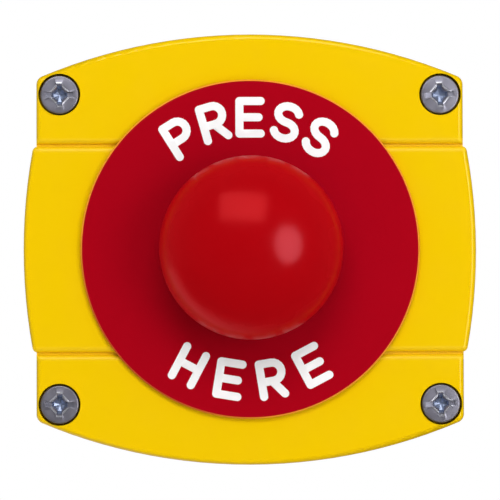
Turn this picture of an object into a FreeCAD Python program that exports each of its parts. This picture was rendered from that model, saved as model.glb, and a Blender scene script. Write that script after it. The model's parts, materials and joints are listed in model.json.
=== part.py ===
import FreeCAD, Part
import math
import os
import re

import Sketcher
from FreeCAD import Placement, Rotation, Vector

# Wall-mounted mushroom push button in its own enclosure.
# Every body is drawn as seen from the front: x to the right, y up, z out of the wall.
# Its placement then stands it up: +Z up, front towards -Y, wall face in the plane Y = 0.

SIZES = {
    # enclosure seen from the front
    "block_width": (94.6, "enclosure across its straight sides"),
    "block_height": (95.4, "enclosure from top crown to bottom crown"),
    "end_arc_radius": (119, "radius of the bowed top and bottom"),
    "block_corner_radius": (2, "rounding of the four outer corners"),
    "band_height": (45.6, "height of the middle band"),
    "wing_span": (100.3, "middle band across its bowed ends"),
    "wing_arc_radius": (123.3, "radius of the bowed ends"),
    "wing_corner_radius": (1.2, "rounding of the band's corners"),
    "joint_groove_width": (0.5, "gap between the band and the end panels at the front"),
    "joint_groove_depth": (1.2, "depth of that gap"),
    "front_rounding": (1.1, "rounding of the cover's front edges"),
    # enclosure depth and walls
    "base_depth": (38, "depth of the base from the wall"),
    "cover_depth": (22, "depth of the cover"),
    "side_wall": (2.6, "side wall of cover and base"),
    "front_wall": (3, "front wall of the cover"),
    "floor_wall": (3, "floor of the base"),
    "base_step": (0.4, "base stands back from the cover's outline"),
    "screw_inset_x": (5.1, "cover screws from the straight sides"),
    "screw_inset_y": (13.4, "cover screws below the crown"),
    "screw_boss_radius": (6.2, "solid corner left round each cover screw"),
    "seal_offset": (0.5, "cavity wall to the gasket"),
    "seal_width": (1.3, "width of the gasket"),
    "seal_depth": (1.6, "depth of the gasket's groove"),
    # cover screws, their seals and inserts
    "screw_thread": (5, "cover screw shank"),
    "screw_head": (8.5, "cover screw head"),
    "screw_head_height": (3.3, "cover screw head height"),
    "screw_head_rounding": (0.7, "rounding of the head's edge"),
    "screw_length": (32, "cover screw under the head"),
    "screw_sunk": (0.5, "screw head below the cover's face"),
    "screw_head_gap": (0.4, "radial gap round the screw head"),
    "screw_hole_gap": (0.3, "radial gap round the screw shank"),
    "screw_slot_width": (1.3, "driver slot and cross arm width"),
    "screw_slot_depth": (1.1, "driver slot depth"),
    "screw_cross_length": (4.6, "cross recess, tip to tip"),
    "screw_cross_depth": (2.2, "cross recess depth"),
    "screw_seal_height": (0.8, "seal under the screw head"),
    "insert_diameter": (7, "brass insert"),
    "insert_length": (10, "brass insert length"),
    "insert_sunk": (0.4, "insert below the base's rim"),
    "insert_waist": (2, "length of the insert's waist"),
    "insert_groove": (0.4, "depth of the insert's waist"),
    "pilot_extra": (2, "hole beyond the screw's tip"),
    "core_diameter": (8, "coring hole in the base's back corners"),
    "core_depth": (16, "depth of the coring hole"),
    # wall fixing and cable entries
    "fixing_pitch_x": (70, "wall holes, left to right"),
    "fixing_pitch_y": (40, "wall holes, top to bottom"),
    "fixing_hole": (4.8, "wall hole"),
    "fixing_boss": (10, "boss round the wall hole"),
    "fixing_boss_height": (2, "boss above the floor"),
    "entry_diameter": (20.4, "knockout for a cable gland"),
    "entry_face": (25, "flat round the knockout"),
    "entry_face_depth": (0.9, "flat below the crown"),
    "entry_groove_width": (0.8, "break-out groove"),
    "entry_groove_depth": (0.9, "break-out groove depth"),
    # front pieces
    "panel_hole": (22.4, "hole through cover and legend disc"),
    "key_width": (3.2, "key on the tube against turning"),
    "key_reach": (12.3, "key from the middle"),
    "key_gap": (0.1, "key to its notch in cover and legend disc"),
    "legend_diameter": (75, "legend disc"),
    "legend_thickness": (1.5, "legend disc"),
    "legend_chamfer": (0.3, "legend disc front edge"),
    "washer_diameter": (29, "seal under the flange"),
    "washer_thickness": (1, "seal under the flange"),
    # operator bushing and its nut
    "tube_diameter": (22, "threaded tube"),
    "tube_reach": (17.5, "tube behind the flange"),
    "flange_diameter": (29.5, "flange"),
    "flange_height": (4, "flange"),
    "flange_chamfer": (0.8, "flange front edge"),
    "collar_diameter": (25, "collar in front of the flange"),
    "collar_height": (2.5, "collar"),
    "well_diameter": (17.5, "spring well"),
    "well_depth": (6.5, "spring well behind the flange"),
    "lip_seal_diameter": (16, "groove for the stem seal"),
    "lip_seal_height": (2.2, "height of the stem seal"),
    "lip_seal_depth": (10, "stem seal behind the flange"),
    "seat_gap": (0.05, "radial gap of pieces that sit in each other"),
    "nut_flats": (27, "nut across flats"),
    "nut_height": (4.5, "nut"),
    "nut_chamfer": (1.2, "bevel of the nut's corners"),
    # mushroom head
    "head_diameter": (40, "mushroom head"),
    "crown_radius": (26, "crown of the dome"),
    "shoulder_radius": (11, "shoulder of the dome"),
    "rim_height": (2.4, "straight rim under the dome"),
    "rim_rounding": (0.6, "rounding of the rim's lower edge"),
    "head_wall": (2.6, "wall of the head"),
    "hub_diameter": (16.4, "hub inside the head"),
    "hub_drop": (0.5, "hub below the rim"),
    "head_stand": (8, "rim in front of the flange's underside"),
    "rib_count": (6, "ribs inside the head"),
    "rib_width": (1.4, "rib inside the head"),
    "rib_start": (4.6, "lower edge of the ribs above the rim"),
    "rib_end": (7.9, "upper edge of the ribs above the rim, within the dome's wall"),
    "rib_root": (0.5, "ribs run into hub and wall"),
    # stem and what it carries
    "stem_diameter": (12, "stem"),
    "running_gap": (0.06, "radial gap of the sliding stem"),
    "spigot_diameter": (8, "stem's spigot in the hub"),
    "spigot_length": (9, "depth of the hub's bore for the spigot"),
    "spigot_gap": (0.5, "spigot's end to the bottom of that bore"),
    "travel": (5, "stroke of the button"),
    "rest_gap": (0.1, "clip to the bushing's end at rest"),
    "clip_thickness": (1, "retaining clip"),
    "clip_diameter": (17, "retaining clip"),
    "clip_groove": (10, "stem in the clip's groove"),
    "clip_mouth": (7, "opening of the clip"),
    "foot_gap": (0.2, "clip to the foot"),
    "foot_length": (24, "foot across both plungers"),
    "foot_width": (8, "foot"),
    "foot_hub": (14, "round middle of the foot"),
    "foot_thickness": (2.4, "foot"),
    "foot_screw_thread": (3, "foot screw shank"),
    "foot_screw_head": (5.6, "foot screw head"),
    "foot_screw_length": (9, "foot screw with its head"),
    "foot_slot": (0.8, "driver slot of the foot screw"),
    "return_wire": (1.3, "return spring wire"),
    "return_coil": (15, "return spring, middle of the wire"),
    "return_turns": (5, "return spring turns"),
    # carrier and contact blocks
    "carrier_width": (34, "carrier"),
    "carrier_height": (46, "carrier"),
    "carrier_corner": (3, "carrier corners"),
    "carrier_window_x": (27, "window for the foot"),
    "carrier_window_y": (15.6, "window for the foot"),
    "carrier_pocket": (8, "coring pocket height"),
    "carrier_rib": (2.4, "walls of the carrier"),
    "block_offset": (8, "contact block from the middle"),
    "contact_width": (12, "contact block"),
    "contact_height": (42, "contact block"),
    "contact_depth": (28, "contact block"),
    "contact_wall": (1.4, "contact block walls"),
    "chamber_height": (26, "chamber of the contact block"),
    "chamber_roof": (1.6, "wall over the chamber"),
    "lid_thickness": (1.6, "plate that closes the chamber"),
    "lid_gap": (0.05, "gap round that plate"),
    "plunger_diameter": (6, "contact plunger"),
    "plunger_reach": (5, "contact plunger out of the block"),
    "plunger_gap": (0.3, "contact plunger to the foot"),
    "plunger_rounding": (0.7, "rounding of the plunger's tip"),
    "plunger_neck": (9, "round part inside the block"),
    "cage_width": (8, "plunger's cage for the bridge"),
    "cage_height": (6, "plunger's cage for the bridge"),
    "cage_depth": (8, "plunger's cage for the bridge"),
    "spring_pin": (3, "pin inside a contact spring"),
    "spring_pin_length": (2, "pin inside a contact spring"),
    "strip_width": (6, "fixed contact strip"),
    "strip_thickness": (0.8, "fixed contact strip"),
    "strip_level": (12, "underside of the strip below the block's top"),
    "strip_tip": (5.4, "inner end of the strip from the middle"),
    "strip_end": (20.4, "outer end of the strip from the middle"),
    "strip_leg": (11.6, "inner face of the low strip's leg"),
    "button_diameter": (3, "contact button"),
    "button_height": (0.7, "contact button"),
    "button_offset": (7.3, "contact button from the middle"),
    "bridge_length": (18, "moving bridge"),
    "bridge_gap": (0.02, "bridge to its cage, in front and behind"),
    "contact_gap": (0.06, "closed contact at rest, and open contact at full stroke"),
    "contact_wire": (0.5, "contact spring wire"),
    "contact_coil": (4.4, "contact spring, middle of the wire"),
    "contact_turns": (4, "contact spring turns"),
    "terminal_offset": (17.6, "terminal screw from the middle"),
    "terminal_thread": (3, "terminal screw shank"),
    "terminal_head": (5.5, "terminal screw head"),
    "terminal_head_height": (2, "terminal screw head height"),
    "terminal_length": (7, "terminal screw under the head"),
    "terminal_gap": (0.5, "terminal screw's end to the bottom of its hole"),
    "terminal_slot": (0.9, "driver slot of a terminal screw"),
    "wire_space": (2, "space for a wire under the strip"),
    "clamp_thickness": (1, "wire clamp"),
    "clamp_width": (7, "wire clamp"),
    "clamp_height": (5.6, "wire clamp"),
    "clamp_lip": (0.8, "lips of the wire clamp"),
    "terminal_pocket": (8, "width of the terminal pocket"),
}

doc = FreeCAD.newDocument("mushroom_push_button")
sheet = doc.addObject("Spreadsheet::Sheet", "Size")
for row, (alias, (number, meaning)) in enumerate(SIZES.items(), 1):
    sheet.set("A%d" % row, alias)
    sheet.set("B%d" % row, str(number))
    sheet.set("C%d" % row, meaning)
    sheet.setAlias("B%d" % row, alias)
doc.recompute()

# Places along z, from the wall outwards.
COVER_FACE = "(base_depth + cover_depth)"
SCREW_SEAT = "(%s - screw_sunk - screw_head_height)" % COVER_FACE
LEGEND_FACE = "(%s + legend_thickness)" % COVER_FACE
FLANGE_SEAT = "(%s + washer_thickness)" % LEGEND_FACE
COVER_INSIDE = "(%s - front_wall)" % COVER_FACE
NUT_BACK = "(%s - nut_height)" % COVER_INSIDE
TUBE_END = "(%s - tube_reach)" % FLANGE_SEAT
WELL_FLOOR = "(%s - well_depth)" % FLANGE_SEAT
RIM = "(%s + head_stand)" % FLANGE_SEAT
HUB_END = "(%s - hub_drop)" % RIM
CLIP_BACK = "(%s - rest_gap - clip_thickness)" % TUBE_END
FOOT_FRONT = "(%s - foot_gap)" % CLIP_BACK
FOOT_BACK = "(%s - foot_thickness)" % FOOT_FRONT
BLOCK_TOP = "(%s - plunger_gap - plunger_reach)" % FOOT_BACK
CLAMP_BACK = "(%s - strip_level - wire_space - clamp_thickness)" % BLOCK_TOP

# Half sizes of the enclosure's hollow, of the cover screws' places and of the solid corners
# that carry them.
HOLLOW_X = "(block_width / 2 - side_wall)"
SCREW_X = "(block_width / 2 - screw_inset_x)"
SCREW_Y = "(block_height / 2 - screw_inset_y)"
NOTCH_X = "(%s - screw_boss_radius)" % SCREW_X
NOTCH_Y = "(%s - screw_boss_radius)" % SCREW_Y

CENTRE = [("0", "0")]
SIDES = (-1, 1)


def sized(text):
    """The expression with each size's name pointing into the sheet."""
    def cell(found):
        return "Size." + found.group() if found.group() in SIZES else found.group()
    return re.sub(r"[a-z][a-z_]*", cell, text)


def value(text):
    return float(sheet.evalExpression(sized(text)))


def bind(thing, prop, text):
    thing.setExpression(prop, sized(text))


def body_of(name, out="0", across="0"):
    """A body drawn as seen from the front, stood up at its place on the button."""
    body = doc.addObject("PartDesign::Body", name)
    body.AllowCompound = True
    body.Placement = Placement(Vector(), Rotation(Vector(1, 0, 0), 90))
    bind(body, "Placement.Base.x", across)
    bind(body, "Placement.Base.y", "-(%s)" % out)
    return body


def sketch_on(body, plane, lift="0"):
    """A sketch on one of the body's own planes, lifted along the plane's normal."""
    sketch = body.newObject("Sketcher::SketchObject", body.Name + "_sketch")
    origin = [item for item in body.Origin.OriginFeatures if item.Role == plane]
    sketch.AttachmentSupport = [(origin[0], "")]
    sketch.MapMode = "FlatFace"
    bind(sketch, "AttachmentOffset.Base.z", lift)
    return sketch


def pin_point(sketch, item, end, x, y):
    """Fix a point of the sketch at the place that two expressions give."""
    for kind, text, axis in (("DistanceX", x, -2), ("DistanceY", y, -1)):
        if text == "0":
            sketch.addConstraint(Sketcher.Constraint("PointOnObject", item, end, axis))
            continue
        number = value(text)
        index = sketch.addConstraint(Sketcher.Constraint(kind, -1, 1, item, end, number))
        bind(sketch, "Constraints[%d]" % index, text)


def outline(sketch, corners, arcs=None):
    """A closed outline. arcs gives the radius of a side that is an arc, and where its centre lies:
    1 to the left of the way along the side, -1 to the right."""
    arcs = arcs or {}
    first = sketch.GeometryCount
    count = len(corners)
    points = [Vector(value(x), value(y), 0) for x, y in corners]
    ends = []
    for side in range(count):
        start = points[side]
        end = points[(side + 1) % count]
        if side not in arcs:
            sketch.addGeometry(Part.LineSegment(start, end))
            ends.append((1, 2))
            continue
        radius, hand = value(arcs[side][0]), arcs[side][1]
        chord = end - start
        left = Vector(-chord.y, chord.x, 0).normalize()
        rise = math.sqrt(max(radius ** 2 - (chord.Length / 2) ** 2, 0))
        centre = (start + end) * 0.5 + left * (hand * rise)
        spokes = [start - centre, end - centre][::hand]
        turn = [math.atan2(spoke.y, spoke.x) for spoke in spokes]
        circle = Part.Circle(centre, Vector(0, 0, 1), radius)
        sketch.addGeometry(Part.ArcOfCircle(circle, turn[0], turn[1]))
        ends.append((1, 2)[::hand])
    for side in range(count):
        item = first + side
        following = first + (side + 1) % count
        next_start = ends[(side + 1) % count][0]
        join = Sketcher.Constraint("Coincident", item, ends[side][1], following, next_start)
        sketch.addConstraint(join)
        pin_point(sketch, item, ends[side][0], *corners[side])
        if side in arcs:
            radius = Sketcher.Constraint("Radius", item, value(arcs[side][0]))
            bind(sketch, "Constraints[%d]" % sketch.addConstraint(radius), arcs[side][0])


def circles(sketch, diameter, places=CENTRE):
    for x, y in places:
        centre = Vector(value(x), value(y), 0)
        circle = Part.Circle(centre, Vector(0, 0, 1), value(diameter) / 2)
        item = sketch.addGeometry(circle)
        pin_point(sketch, item, 3, x, y)
        size = Sketcher.Constraint("Diameter", item, value(diameter))
        bind(sketch, "Constraints[%d]" % sketch.addConstraint(size), diameter)


def oblongs(sketch, width, height, places=CENTRE):
    """Upright rectangles about their centres."""
    for x, y in places:
        right = "%s + (%s) / 2" % (x, width)
        left = "%s - (%s) / 2" % (x, width)
        top = "%s + (%s) / 2" % (y, height)
        bottom = "%s - (%s) / 2" % (y, height)
        outline(sketch, [(left, bottom), (right, bottom), (right, top), (left, top)])


def pad(body, low, high, draw):
    """Material between two heights, with the outline that draw makes."""
    sketch = sketch_on(body, "XY_Plane", low)
    draw(sketch)
    feature = body.newObject("PartDesign::Pad", body.Name + "_pad")
    feature.Profile = sketch
    bind(feature, "Length", "%s - (%s)" % (high, low))
    return feature


def cut(body, low, high, draw):
    """Takes the outline that draw makes away between two heights."""
    sketch = sketch_on(body, "XY_Plane", low)
    draw(sketch)
    feature = body.newObject("PartDesign::Pocket", body.Name + "_pocket")
    feature.Profile = sketch
    feature.Reversed = True
    bind(feature, "Length", "%s - (%s)" % (high, low))
    return feature


def turned(body, corners, arcs=None, cutting=False):
    """A profile of radius and height turned about the body's z axis."""
    sketch = sketch_on(body, "XZ_Plane")
    outline(sketch, corners, arcs)
    kind = "PartDesign::Groove" if cutting else "PartDesign::Revolution"
    feature = body.newObject(kind, body.Name + "_turned")
    feature.Profile = sketch
    feature.ReferenceAxis = (sketch, ["V_Axis"])
    feature.Angle = 360
    return feature


def dress(body, kind, size, wanted):
    """Round (Fillet) or bevel (Chamfer) the edges of the body that wanted picks."""
    doc.recompute()
    last = body.Tip
    names = ["Edge%d" % (n + 1) for n, edge in enumerate(last.Shape.Edges) if wanted(edge)]
    feature = body.newObject("PartDesign::" + kind, body.Name + "_" + kind.lower())
    feature.Base = (last, names)
    bind(feature, "Radius" if kind == "Fillet" else "Size", size)
    return feature


def level_at(height):
    """Picks edges that lie flat at a height."""
    z = value(height)

    def picked(edge):
        levels = [edge.CenterOfMass.z] + [v.Z for v in edge.Vertexes]
        return all(abs(level - z) < 1e-4 for level in levels)
    return picked


def upright_at(x, y):
    """Picks edges along z at a place, whatever its signs."""
    def picked(edge):
        first, last = edge.Vertexes[0].Point, edge.Vertexes[-1].Point
        upright = abs(first.z - last.z) > 1e-3 and (first - last).Length < abs(first.z - last.z) + 1e-6
        return upright and abs(abs(first.x) - x) < 1e-3 and abs(abs(first.y) - y) < 1e-3
    return picked


def four(x, y):
    return [("%d * %s" % (i, x), "%d * %s" % (j, y)) for i in SIDES for j in SIDES]


SCREW_PLACES = four(SCREW_X, SCREW_Y)
TERMINALS = four("block_offset", "terminal_offset")
TIPS = [("0", "%d * terminal_offset" % j) for j in SIDES]


def tangent(straight, bow, corner):
    """Where a corner's arc meets a straight side and a bowed side that lies across it.
    straight is the side's distance, bow the arc's crown and radius. Gives along and out."""
    crown, radius = bow
    centre = "(%s - %s)" % (crown, radius)
    lift = "sqrt((%s - %s) ^ 2 - (%s - %s) ^ 2)" % (radius, corner, straight, corner)
    stretch = "%s / (%s - %s)" % (radius, radius, corner)
    on_straight = "(%s + %s)" % (centre, lift)
    on_bow = ("((%s - %s) * %s)" % (straight, corner, stretch),
              "(%s + %s * %s)" % (centre, lift, stretch))
    return on_straight, on_bow


def mirrored(quarter, i, j):
    return [("%d * %s" % (i, x), "%d * %s" % (j, y)) for x, y in quarter]


def block_outline(inset):
    """The upper half of the bowed block from right to left, shrunk by inset, and its bow."""
    side = "(block_width / 2 - %s)" % inset
    bow = ("(block_height / 2 - %s)" % inset, "(end_arc_radius - %s)" % inset)
    along, top = tangent(side, bow, "block_corner_radius")
    half = [(side, along), top]
    return half + mirrored(half, -1, 1)[::-1], bow[1]


def draw_block(sketch, inset="0"):
    half, arc = block_outline(inset)
    corner = ("block_corner_radius", 1)
    outline(sketch, half + mirrored(half, -1, -1),
            {0: corner, 1: (arc, 1), 2: corner, 4: corner, 5: (arc, 1), 6: corner})


def draw_end_panels(sketch):
    """What lies above and below the band at the front, with a gap to it."""
    half, arc = block_outline("0")
    low = "(band_height / 2 + joint_groove_width)"
    panel = [(half[0][0], low)] + half + [(half[-1][0], low)]
    for hand in SIDES:
        corner = ("block_corner_radius", hand)
        outline(sketch, mirrored(panel, 1, hand), {1: corner, 2: (arc, hand), 3: corner})


def draw_band(sketch, inset="0"):
    """The middle band, bowed left and right."""
    side = "(band_height / 2 - %s)" % inset
    bow = ("(wing_span / 2 - %s)" % inset, "(wing_arc_radius - %s)" % inset)
    along, end = tangent(side, bow, "wing_corner_radius")
    half = [end[::-1], (along, side)]
    half += mirrored(half, -1, 1)[::-1]
    corner = ("wing_corner_radius", 1)
    outline(sketch, half + mirrored(half, -1, -1),
            {0: corner, 2: corner, 3: (bow[1], 1), 4: corner, 6: corner, 7: (bow[1], 1)})


def draw_hollow(sketch, grow="0"):
    """The enclosure's hollow, wider by grow: a bowed cross that leaves the screw corners solid."""
    wide = "(%s + %s)" % (HOLLOW_X, grow)
    narrow = "(%s + %s)" % (NOTCH_X, grow)
    notch = "(%s + %s)" % (NOTCH_Y, grow)
    arc = "(end_arc_radius - side_wall + %s)" % grow
    top = "(block_height / 2 - end_arc_radius + sqrt(%s ^ 2 - %s ^ 2))" % (arc, narrow)
    quarter = [(wide, notch), (narrow, notch), (narrow, top)]
    corners = []
    for i, j in ((1, 1), (-1, 1), (-1, -1), (1, -1)):
        points = [("%d * %s" % (i, x), "%d * %s" % (j, y)) for x, y in quarter]
        corners += points if i == j else points[::-1]
    outline(sketch, corners, {2: (arc, 1), 8: (arc, 1)})


def cut_panel_hole(body, low, high):
    """The hole for the tube, with the notch for its key at the top."""
    cut(body, low, high, lambda s: circles(s, "panel_hole"))
    notch = [("0", "(key_reach + key_gap) / 2")]
    cut(body, low, high,
        lambda s: oblongs(s, "key_width + 2 * key_gap", "key_reach + key_gap", notch))


def draw_seal_ring(sketch):
    draw_hollow(sketch, "seal_offset")
    draw_hollow(sketch, "(seal_offset + seal_width)")


def make_cover():
    body = body_of("cover", "base_depth")
    pad(body, "0", "cover_depth - joint_groove_depth", draw_block)
    pad(body, "0", "cover_depth", draw_band)
    pad(body, "cover_depth - joint_groove_depth", "cover_depth", draw_end_panels)
    dress(body, "Fillet", "front_rounding", level_at("cover_depth"))
    cut(body, "0", "cover_depth - front_wall", draw_hollow)
    cut(body, "0", "seal_depth", draw_seal_ring)
    cut_panel_hole(body, "cover_depth - front_wall", "cover_depth")
    cut(body, "0", "cover_depth",
        lambda s: circles(s, "screw_thread + 2 * screw_hole_gap", SCREW_PLACES))
    seat = "%s - base_depth - screw_seal_height" % SCREW_SEAT
    cut(body, seat, "cover_depth + front_rounding",
        lambda s: circles(s, "screw_head + 2 * screw_head_gap", SCREW_PLACES))


def make_base():
    body = body_of("base")
    pad(body, "0", "base_depth", lambda s: draw_block(s, "base_step"))
    pad(body, "0", "base_depth", lambda s: draw_band(s, "base_step"))
    cut(body, "floor_wall", "base_depth", draw_hollow)
    fixings = four("fixing_pitch_x / 2", "fixing_pitch_y / 2")
    pad(body, "floor_wall", "floor_wall + fixing_boss_height",
        lambda s: circles(s, "fixing_boss", fixings))
    cut(body, "0", "floor_wall + fixing_boss_height",
        lambda s: circles(s, "fixing_hole", fixings))
    cut(body, "base_depth - insert_sunk - insert_length", "base_depth",
        lambda s: circles(s, "insert_diameter + 2 * seat_gap", SCREW_PLACES))
    cut(body, "%s - screw_length - pilot_extra" % SCREW_SEAT, "base_depth",
        lambda s: circles(s, "screw_thread + 2 * screw_hole_gap", SCREW_PLACES))
    cut(body, "0", "core_depth", lambda s: circles(s, "core_diameter", SCREW_PLACES))
    face = "(block_height / 2 - base_step - entry_face_depth)"
    middle = [("0", "base_depth / 2")]
    for hand in SIDES:
        knockout(body, hand, face, "block_height", middle, ["entry_face"])
        groove = ["entry_diameter", "entry_diameter - 2 * entry_groove_width"]
        knockout(body, hand, "(%s - entry_groove_depth)" % face, face, middle, groove)


def knockout(body, hand, low, high, middle, diameters):
    """A round cut into the top or bottom wall. The plane's normal points down the body."""
    sketch = sketch_on(body, "XZ_Plane", "%d * %s" % (-hand, low))
    for diameter in diameters:
        circles(sketch, diameter, middle)
    feature = body.newObject("PartDesign::Pocket", "base_knockout")
    feature.Profile = sketch
    feature.Reversed = hand < 0
    bind(feature, "Length", "%s - %s" % (high, low))


def make_cover_gasket():
    body = body_of("cover_gasket", "base_depth")
    pad(body, "0", "seal_depth", draw_seal_ring)


def make_cover_screws():
    """Cheese heads with a driver slot and a deeper cross."""
    body = body_of("cover_screws", SCREW_SEAT)
    top = "screw_head_height"
    pad(body, "-1 * screw_length", "0", lambda s: circles(s, "screw_thread", SCREW_PLACES))
    pad(body, "0", top, lambda s: circles(s, "screw_head", SCREW_PLACES))
    dress(body, "Fillet", "screw_head_rounding", level_at(top))
    cut(body, top + " - screw_slot_depth", top,
        lambda s: oblongs(s, "screw_head + screw_slot_width", "screw_slot_width", SCREW_PLACES))
    cut(body, top + " - screw_cross_depth", top,
        lambda s: oblongs(s, "screw_cross_length", "screw_slot_width", SCREW_PLACES))
    cut(body, top + " - screw_cross_depth", top,
        lambda s: oblongs(s, "screw_slot_width", "screw_cross_length", SCREW_PLACES))


def make_screw_seals():
    body = body_of("screw_seals", "%s - screw_seal_height" % SCREW_SEAT)

    def draw(sketch):
        circles(sketch, "screw_head", SCREW_PLACES)
        circles(sketch, "screw_thread + 2 * seat_gap", SCREW_PLACES)
    pad(body, "0", "screw_seal_height", draw)


def make_screw_inserts():
    """Brass inserts with a waist that keeps them in the plastic."""
    body = body_of("screw_inserts", "base_depth - insert_sunk - insert_length")

    def ring(diameter):
        def draw(sketch):
            circles(sketch, diameter, SCREW_PLACES)
            circles(sketch, "screw_thread + 2 * seat_gap", SCREW_PLACES)
        return draw
    low = "(insert_length - insert_waist) / 2"
    high = "(insert_length + insert_waist) / 2"
    pad(body, "0", low, ring("insert_diameter"))
    pad(body, low, high, ring("insert_diameter - 2 * insert_groove"))
    pad(body, high, "insert_length", ring("insert_diameter"))


def make_legend_disc():
    body = body_of("legend_disc", COVER_FACE)
    pad(body, "0", "legend_thickness", lambda s: circles(s, "legend_diameter"))
    dress(body, "Chamfer", "legend_chamfer", level_at("legend_thickness"))
    cut_panel_hole(body, "0", "legend_thickness")


def make_flange_seal():
    body = body_of("flange_seal", LEGEND_FACE)

    def draw(sketch):
        circles(sketch, "washer_diameter")
        circles(sketch, "panel_hole")
    pad(body, "0", "washer_thickness", draw)


def make_operator_bushing():
    """Flange and collar in front, threaded tube behind, spring well and stem guide inside."""
    body = body_of("operator_bushing", FLANGE_SEAT)
    tube, guide = "tube_diameter / 2", "stem_diameter / 2 + running_gap"
    well, lip = "well_diameter / 2", "lip_seal_diameter / 2"
    front = "flange_height + collar_height"
    lip_top, lip_end = "-1 * lip_seal_depth", "-1 * lip_seal_depth - lip_seal_height"
    turned(body, [
        (guide, "-1 * tube_reach"), (tube, "-1 * tube_reach"), (tube, "0"),
        ("flange_diameter / 2", "0"), ("flange_diameter / 2", "flange_height - flange_chamfer"),
        ("flange_diameter / 2 - flange_chamfer", "flange_height"),
        ("collar_diameter / 2", "flange_height"), ("collar_diameter / 2", front),
        (well, front), (well, "-1 * well_depth"), (guide, "-1 * well_depth"),
        (guide, lip_top), (lip, lip_top), (lip, lip_end), (guide, lip_end)])
    inner = "(%s + key_reach) / 2" % well
    pad(body, "-1 * (washer_thickness + legend_thickness + front_wall)", "-1 * washer_thickness",
        lambda s: oblongs(s, "key_width", "key_reach - %s" % well, [("0", inner)]))


def make_stem_seal():
    body = body_of("stem_seal", "%s - lip_seal_depth - lip_seal_height" % FLANGE_SEAT)

    def draw(sketch):
        circles(sketch, "lip_seal_diameter - 2 * seat_gap")
        circles(sketch, "stem_diameter + 2 * running_gap")
    pad(body, "0", "lip_seal_height", draw)


def make_lock_nut():
    body = body_of("lock_nut", NUT_BACK)
    corner = "(nut_flats / sqrt(3))"

    def draw(sketch):
        outline(sketch, [("%s * %s" % (corner, c), "%s * %s" % (corner, s)) for c, s in (
            ("1", "0"), ("0.5", "sqrt(0.75)"), ("(-0.5)", "sqrt(0.75)"),
            ("(-1)", "0"), ("(-0.5)", "(-1) * sqrt(0.75)"), ("0.5", "(-1) * sqrt(0.75)"))])
        circles(sketch, "tube_diameter + 2 * seat_gap")
    pad(body, "0", "nut_height", draw)
    flat = "nut_flats / 2"
    outside = "2 * %s - %s" % (corner, flat)
    turned(body, [(flat, "0"), (outside, "0"), (outside, "2 * nut_chamfer")], cutting=True)


def make_mushroom_head():
    """One moulding: a dome of crown, shoulder and rim, hollow, with a hub and ribs inside."""
    body = body_of("mushroom_head", RIM)
    rim = "head_diameter / 2"
    reach = "(crown_radius - shoulder_radius)"
    side = "(head_diameter / 2 - shoulder_radius)"
    drop = "sqrt(%s ^ 2 - %s ^ 2)" % (reach, side)

    def dome(wall):
        """Corners of the dome, its surface moved in by wall, from the rim to the top."""
        crown = "(crown_radius - %s)" % wall
        corners = [
            ("%s - %s" % (rim, wall), "rim_height"),
            ("%s * %s / %s" % (crown, side, reach),
             "rim_height - %s + %s * %s / %s" % (drop, crown, drop, reach)),
            ("0", "rim_height - %s + %s" % (drop, crown))]
        return corners, crown, "(shoulder_radius - %s)" % wall
    outer, crown, shoulder = dome("0")
    inner, inner_crown, inner_shoulder = dome("head_wall")
    lower = [(rim + " - head_wall", "0"), (rim + " - rim_rounding", "0"), (rim, "rim_rounding")]
    turned(body, lower + outer + inner[::-1], {
        1: ("rim_rounding", 1), 3: (shoulder, 1), 4: (crown, 1),
        6: (inner_crown, -1), 7: (inner_shoulder, -1)})
    inside = "rim_height - %s + crown_radius - head_wall / 2" % drop
    pad(body, "-1 * hub_drop", inside, lambda s: circles(s, "hub_diameter"))

    def draw_ribs(sketch):
        """Radial ribs between hub and wall."""
        count = int(value("rib_count"))
        half = "rib_width / 2"
        near = "(hub_diameter / 2 - rib_root)"
        far = "(head_diameter / 2 - head_wall + rib_root)"
        corners = [(near, "(-1) * " + half), (far, "(-1) * " + half), (far, half), (near, half)]
        for n in range(count):
            turn = 360.0 * n / count
            cos, sin = "cos(%.6f)" % turn, "sin(%.6f)" % turn
            outline(sketch, [("%s * %s - %s * %s" % (x, cos, y, sin),
                              "%s * %s + %s * %s" % (x, sin, y, cos)) for x, y in corners])
    pad(body, "rib_start", "rib_end", draw_ribs)
    cut(body, "-1 * hub_drop", "spigot_length - hub_drop",
        lambda s: circles(s, "spigot_diameter + 2 * seat_gap"))


def make_plunger_stem():
    body = body_of("plunger_stem", HUB_END)
    stem, groove = "stem_diameter / 2", "clip_groove / 2"
    foot = "%s - %s" % (FOOT_FRONT, HUB_END)
    clip = "%s - %s" % (CLIP_BACK, HUB_END)
    spigot, tip = "spigot_diameter / 2", "spigot_length - spigot_gap"
    turned(body, [
        ("0", foot), (stem, foot), (stem, clip), (groove, clip),
        (groove, clip + " + clip_thickness"), (stem, clip + " + clip_thickness"),
        (stem, "0"), (spigot, "0"), (spigot, tip), ("0", tip)])
    cut(body, foot, foot + " + foot_screw_length",
        lambda s: circles(s, "foot_screw_thread + 2 * seat_gap"))


def make_retaining_clip():
    """Open ring that snaps into the stem's groove and stops it at the bushing's end."""
    body = body_of("retaining_clip", CLIP_BACK)

    def draw(sketch):
        circles(sketch, "clip_diameter")
        circles(sketch, "clip_groove + 2 * seat_gap")
    pad(body, "0", "clip_thickness", draw)
    cut(body, "0", "clip_thickness", lambda s: oblongs(
        s, "clip_mouth", "clip_diameter", [("0", "-1 * clip_diameter / 2")]))


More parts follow.
